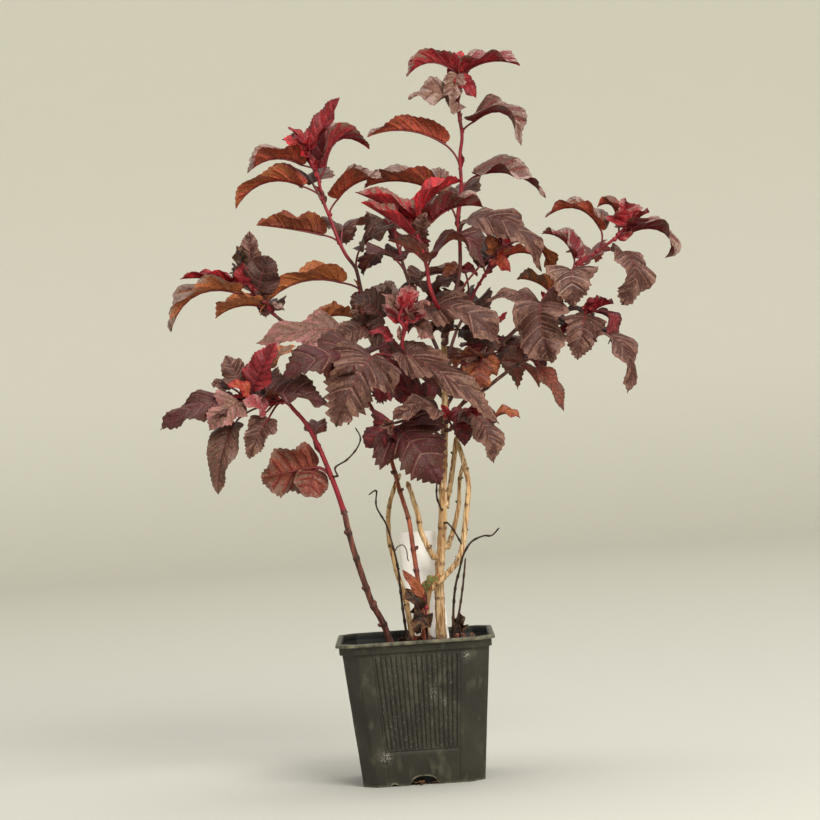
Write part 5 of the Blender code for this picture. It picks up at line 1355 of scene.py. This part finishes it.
shoot("lower_left_shoot", [(-35.6, 152.2, -30), (-39, 165, -31), (-43, 178, -32), (-48, 192, -33),
                           (-54, 205, -34), (-60, 213, -35), (-65, 218.5, -36), (-72, 218, -37),
                           (-80, 218, -38), (-86, 222, -38)], (1.6, 1.0), [
    leaf("purple, pale veins", (-75, 222), (-41, 214), dy=-8, arch=4, wide=28, tilt=30, fold=30, lobe=0.2),
    leaf("purple, pale veins", (-95, 220), (-138, 207), dy=-8, arch=7, wide=26, tilt=40, fold=-5, lobe=0.6),
    leaf("pale rose", (-92, 220), (-110, 205), out=-6, dy=-6, arch=4, wide=22, tilt=60, fold=0),
    leaf("dull", (-95, 208), (-107, 168), out=2, dy=-6, arch=6, wide=19, tilt=60, turn=-20, fold=15, lobe=0.1),
    leaf("mauve", (-76, 209), (-88, 187), out=-5, dy=-6, arch=5, wide=16, tilt=60, fold=10, lobe=0.4, blunt=0.2),
    leaf("mauve", (-90, 231), (-98, 247), out=2, dy=6, arch=2, wide=17, tilt=60, fold=10, lobe=0.5),
    leaf("mauve", (-96, 229), (-107, 232), out=4, dy=4, arch=1, wide=11, tilt=50, fold=10, lobe=0.3),
    leaf("deep red", (-83, 228), (-68, 253), dy=-4, arch=1, wide=18, tilt=50, fold=20, lobe=0.1, blunt=0.2),
    leaf("olive brown", (-72, 240), (-57, 250), out=8, dy=4, arch=3, wide=10, tilt=40, fold=20, lobe=0.3),
    leaf("orange red", (-86, 225), (-98, 231), out=-4, dy=-4, arch=2, wide=10, tilt=50, fold=20, lobe=0.3),
    leaf("rose", (-78, 214), (-90, 221), out=-8, dy=-5, arch=2, wide=13, tilt=50, fold=20, lobe=0.3),
    leaf("rust", (-50, 180), (-82, 176), dy=-8, arch=1, wide=30, tilt=-60, fold=0, lobe=0.3, blunt=0.9),
    leaf("rust", (-51, 178), (-56, 163), dy=-5, arch=1, wide=18, tilt=-70, fold=0, lobe=0, blunt=1.0),
    leaf("dark purple", (-80, 222), (-72, 226), out=12, dy=32, arch=9, wide=26, fold=20),
    leaf("brown", (-49, 199), (-47, 205), out=12, dy=34, arch=3, wide=13, fold=10, lobe=0.3),
], meets=["lower_left_stem"], young_from=157.0, seed=114)

dry_twig("curly_twig", [(-38, 174, -35), (-39, 179, -38), (-32, 183, -38), (-26, 189, -36),
                        (-23.5, 195, -34), (-26, 201, -30)], (0.5, 0.4), ["lower_left_shoot"], 66)

BACK_LEAVES = 5
BACK_FAN = 38.0
BACK_LEAF_LENGTH = 44.0
BACK_COATS = ("dark purple", "mauve", "purple, pale veins", "dark red", "mauve")


def back_leaves(seed, first_hand, sink, spots):
    """Leaves of a shoot that the front hides: they stand to its left (first_hand 1) and right by
    turns, fan out to the back, grow smaller towards its tip, arch over and hang down, the upper
    ones by up to sink more, and are shaken a little."""
    shake = random.Random(seed)
    found = []
    for k in range(BACK_LEAVES):
        part = (k + 1) / BACK_LEAVES
        place = part * (len(spots) - 1)
        i = min(int(place), len(spots) - 2)
        x, z, y = (spots[i][n] + (spots[i + 1][n] - spots[i][n]) * (place - i) for n in range(3))
        hand = -first_hand if k % 2 else first_hand
        angle = math.radians(90 + hand * BACK_FAN * (1.5 - part) + shake.uniform(-8, 8))
        long = BACK_LEAF_LENGTH * (1.1 - 0.35 * part) + shake.uniform(-3, 3)
        away = PETIOLE * 0.9
        base = (x + math.cos(angle) * away, z + 4 - sink * part * 0.4)
        tip = (x + math.cos(angle) * (away + long * 0.85),
               z + 4 - sink * part - long * shake.uniform(0.1, 0.4))
        found.append(leaf(BACK_COATS[k], base, tip, out=math.sin(angle) * away,
                          dy=math.sin(angle) * long * 0.85, arch=long * 0.22, wide=long * 0.66, fold=15))
    return found


for name, seed, hand, sink, spots in (
    ("back_left_shoot", 1, 1, 0, [(26, 196, 6), (14, 206, 32), (-4, 220, 54), (-18, 233, 68), (-25, 246, 76)]),
    ("back_right_shoot", 3, -1, 34, [(27, 210, 6), (36, 222, 28), (48, 234, 48), (56, 246, 62), (60, 256, 72)]),
    ("back_middle_shoot", 6, 1, 0, [(26.5, 236, 6), (20, 254, 30), (12, 276, 46), (7, 296, 54), (4, 312, 58)]),
):
    shoot(name, spots, (1.2, 0.9), back_leaves(seed, hand, sink, spots[1:]), meets=["main_stem"], seed=120 + seed)

shoot("foot_leaves", [(8, UNDER_GROUND, -26), (7, 86, -28), (8, 99, -26), (7, 108, -25)], (0.7, 0.5), [
    leaf("olive", (8, 105), (18, 113), dy=-3, arch=2, wide=9, tilt=40, fold=10, lobe=0),
    leaf("orange brown", (6, 102), (-5, 118), dy=-3, arch=1, wide=6.5, tilt=60, fold=10, lobe=0),
    leaf("dead", (4, 94), (-4, 107), dy=-3, arch=2, wide=10, tilt=60, fold=20, lobe=0.3),
    leaf("dead", (6, 90), (1, 80), dy=-4, arch=3, wide=13, tilt=60, fold=20, lobe=0.6),
], seed=130, slot="dry_leaves", ripe=dry_bark, tip_coat=None)
shoot("foot_leaf_right", [(25, UNDER_GROUND, -14), (26, 78, -15), (26, 84, -16)], (0.6, 0.5), [
    leaf("dead", (26, 82), (27, 91), dy=-3, arch=1, wide=8, tilt=60, fold=20, lobe=0.5),
], seed=131, slot="dry_leaves", ripe=dry_bark, tip_coat=None)


# Dead leaves have dropped among the stems and lie crumpled on the soil.
LITTER = 16
shake = random.Random(140)
skins = []
for k in range(LITTER):
    angle = shake.uniform(0, 2 * math.pi)
    far = shake.uniform(3, 20)
    root = Vector((8 + math.cos(angle) * far, -10 + math.sin(angle) * far * 0.8, 72.5 + shake.uniform(0, 3)))
    way = Vector((math.cos(angle * 3), math.sin(angle * 3), shake.uniform(-0.1, 0.7))).normalized()
    long = shake.uniform(8, 15)
    spec = leaf(shake.choice(("dead", "dead", "dry")), (0, 0), (0, 0), arch=long * 0.2, wide=long * 0.7,
                fold=shake.uniform(-40, 50), lobe=0.6)
    spec["coat"] = COATS[spec["coat"]]
    spec["lean"] = (shake.uniform(-1, 1), shake.uniform(-1, 1), 1.0)
    spec["crumple"] = 1.8
    skins.append(leaf_parts(spec, root, way, root, root + way * long, shake)[0])
litter = leaves_piece("leaf_litter", skins)
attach(litter, "root")


# Fine dead tendrils, and a few roots that come out of the notch in the pot's front.
ROOTS = 9
root_bark = weathered("fine roots", tone(126, 88, 56), [
    (tone(70, 46, 30), 300.0, (1, 1, 1), 0.45, 0.6, None)], 0.8, (1500.0, 0.3))
loop = smooth_path([seen(*spot) for spot in ((-8.5, 128, -6.5), (-6.5, 131, -9), (-3.5, 132, -10),
                                             (-1.5, 129, -10), (-1.2, 124, -9), (-0.6, 122.5, -9))], None)
tendril = skinned("dry_tendril", [(loop, [0.3] * len(loop), [0.0] * len(loop))], dry_bark, 6)
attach(tendril, "root")
strands = []
for k in range(ROOTS):
    place = Vector((shake.uniform(-6, 6), -31.5, shake.uniform(1.0, 3.2)))
    spots = [place]
    for step in range(5):
        place = place + Vector((shake.uniform(-2.6, 2.6), shake.uniform(-2.2, 0.2), shake.uniform(-1.2, 0.6)))
        place.z = max(place.z, 0.35)
        spots.append(place)
    run = smooth_path(spots, 4)
    strands.append((run, [0.3 - 0.2 * i / len(run) for i in range(len(run))], [0.0] * len(run)))
roots = skinned("notch_roots", strands, root_bark, 5)
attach(roots, "root")


# Buds: small pointed stubs where last year's leaves stood, and red ones in the axils of this
# year's leaves.
BUD_SIDES = 7
BUD_PROFILE = ((0.0, 0.34), (0.25, 0.46), (0.5, 0.42), (0.75, 0.24), (0.93, 0.08))


def bud_shape():
    places = []
    faces = []
    for far, wide in BUD_PROFILE:
        for k in range(BUD_SIDES):
            angle = 2 * math.pi * k / BUD_SIDES
            places.append((math.cos(angle) * wide, math.sin(angle) * wide * 0.8, far))
    places.append((0, 0, 1.0))
    for i in range(len(BUD_PROFILE) - 1):
        for k in range(BUD_SIDES):
            n = (k + 1) % BUD_SIDES
            a = i * BUD_SIDES
            faces.append((a + k, a + n, a + BUD_SIDES + n, a + BUD_SIDES + k))
    last = (len(BUD_PROFILE) - 1) * BUD_SIDES
    for k in range(BUD_SIDES):
        faces.append((last + k, last + (k + 1) % BUD_SIDES, len(places) - 1))
    faces.append(tuple(reversed(range(BUD_SIDES))))
    mesh = bpy.data.meshes.new("bud")
    mesh.from_pydata(places, [], faces)
    mesh.shade_smooth()
    return bpy.data.objects.new("bud", mesh)


def bud_nodes():
    group, given, result = node_group("buds on their nodes", [
        ("Bud", "NodeSocketObject"), ("Finish", "NodeSocketMaterial")])
    nodes = group.nodes
    link = group.links.new
    shape = nodes.new("GeometryNodeObjectInfo")
    link(given.outputs["Bud"], shape.inputs["Object"])
    way = nodes.new("GeometryNodeInputNamedAttribute")
    way.data_type = "FLOAT_VECTOR"
    way.inputs["Name"].default_value = "way"
    size = nodes.new("GeometryNodeInputNamedAttribute")
    size.inputs["Name"].default_value = "size"
    turned = nodes.new("FunctionNodeAlignRotationToVector")
    turned.axis = "Z"
    link(way.outputs["Attribute"], turned.inputs["Vector"])
    placed = nodes.new("GeometryNodeInstanceOnPoints")
    link(given.outputs["Geometry"], placed.inputs["Points"])
    link(shape.outputs["Geometry"], placed.inputs["Instance"])
    link(turned.outputs["Rotation"], placed.inputs["Rotation"])
    link(size.outputs["Attribute"], placed.inputs["Scale"])
    real = nodes.new("GeometryNodeRealizeInstances")
    link(placed.outputs["Instances"], real.inputs["Geometry"])
    finish = nodes.new("GeometryNodeSetMaterial")
    link(real.outputs["Geometry"], finish.inputs["Geometry"])
    link(given.outputs["Finish"], finish.inputs["Material"])
    link(finish.outputs["Geometry"], result.inputs["Geometry"])
    return group


bud = bud_shape()
bud_group = bud_nodes()
for kind, material, size, slot in (("old", dry_bark, 1.3, "old_bark"), ("red", red_bark, 2.7, "new_bark"),
                                   ("young", crimson, 3.0, "red_leaves")):
    shake = random.Random(7)
    mesh = bpy.data.meshes.new(kind + "_buds")
    mesh.from_pydata([tuple(place * MM) for place, way, thick in stub_places[kind]], [], [])
    layer = mesh.attributes.new("way", "FLOAT_VECTOR", "POINT")
    layer.data.foreach_set("vector", np.array([tuple(way) for place, way, thick in stub_places[kind]],
                                              dtype=np.float32).ravel())
    layer = mesh.attributes.new("size", "FLOAT", "POINT")
    layer.data.foreach_set("value", np.array([size * shake.uniform(0.7, 1.2) * MM for _ in stub_places[kind]],
                                             dtype=np.float32))
    thing = bpy.data.objects.new(kind + "_buds", mesh)
    bpy.context.scene.collection.objects.link(thing)
    shaped_by(thing, bud_group, {"Bud": bud, "Finish": material})
    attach(thing, "root")
bpy.data.objects.remove(bud)


# The floor is a round pale ground that rises all round like a bowl. It is painted a little darker
# round the plant, as painted shade, and paler further off and upwards, as painted light that makes
# up for the lamps' fall-off; a broad soft light stands to the upper right in front, a weaker one above.
BOWL_FOOT = 2500.0
BOWL_RINGS = 20
BOWL_BEND = 700.0
BOWL_HEIGHT = 1500.0
BOWL_SIDES = 96


def build_studio():
    profile = [(BOWL_FOOT * k / BOWL_RINGS, 0) for k in range(1, BOWL_RINGS + 1)]
    profile += [(BOWL_FOOT + BOWL_BEND * math.sin(math.radians(a)), BOWL_BEND * (1 - math.cos(math.radians(a))))
                for a in range(10, 91, 10)]
    profile.append((BOWL_FOOT + BOWL_BEND, BOWL_HEIGHT))
    places = [(0, 0, 0)]
    outer = [0.0]
    upper = [0.0]
    faces = [(0, 1 + k, 1 + (k + 1) % BOWL_SIDES) for k in range(BOWL_SIDES)]
    for far, z in profile:
        for k in range(BOWL_SIDES):
            angle = 2 * math.pi * k / BOWL_SIDES
            places.append((far * math.cos(angle), far * math.sin(angle), z))
            outer.append(ease(BOWL_FOOT * 0.1, BOWL_FOOT * 0.9, far))
            upper.append(ease(-80, 300, z))
    for i in range(len(profile) - 1):
        for k in range(BOWL_SIDES):
            a = 1 + i * BOWL_SIDES
            n = (k + 1) % BOWL_SIDES
            faces.append((a + k, a + BOWL_SIDES + k, a + BOWL_SIDES + n, a + n))
    # painted shade near the plant, and painted light that grows further off and upwards
    ground = weathered("pale ground", tone(178, 177, 170), [
        (tone(204, 202, 188), 1.0, (1, 1, 1), -1.0, 0.0, "outer"),
        (tone(226, 224, 210), 1.0, (1, 1, 1), -1.0, 0.0, "upper")], 0.9)
    new_piece("studio_ground", places, faces, ground, {"outer": outer, "upper": upper})
    for name, place, power, size in (("key", (0.8, -1.6, 1.4), 46.0, 1.0),
                                     ("top", (0.1, 0.4, 1.8), 14.0, 1.2)):
        light = bpy.data.lights.new(name, "AREA")
        light.energy = power
        light.size = size
        light.color = (1.0, 0.97, 0.91)
        lamp = bpy.data.objects.new(name, light)
        bpy.context.scene.collection.objects.link(lamp)
        lamp.location = place
        lamp.rotation_euler = (Vector((0, 0, 0.22)) - Vector(place)).to_track_quat("-Z", "Y").to_euler()
    world = bpy.data.worlds.new("studio")
    world.use_nodes = True
    world.node_tree.nodes["Background"].inputs["Color"].default_value = (1.0, 0.99, 0.965, 1.0)
    world.node_tree.nodes["Background"].inputs["Strength"].default_value = 0.72
    bpy.context.scene.world = world


build_studio()

camera = bpy.data.objects.new("camera", bpy.data.cameras.new("camera"))
bpy.context.scene.collection.objects.link(camera)
camera.data.sensor_width = 36.0
camera.data.lens = 2995 / 820 * 36
camera.matrix_world = (Matrix.Translation((0.006, -1.72, 0.211)) @ Matrix.Rotation(math.radians(3.9), 4, "Y")
                       @ Matrix.Rotation(math.radians(90), 4, "X"))
bpy.context.scene.camera = camera
bpy.context.scene.view_settings.view_transform = "Standard"

bpy.context.view_layer.update()
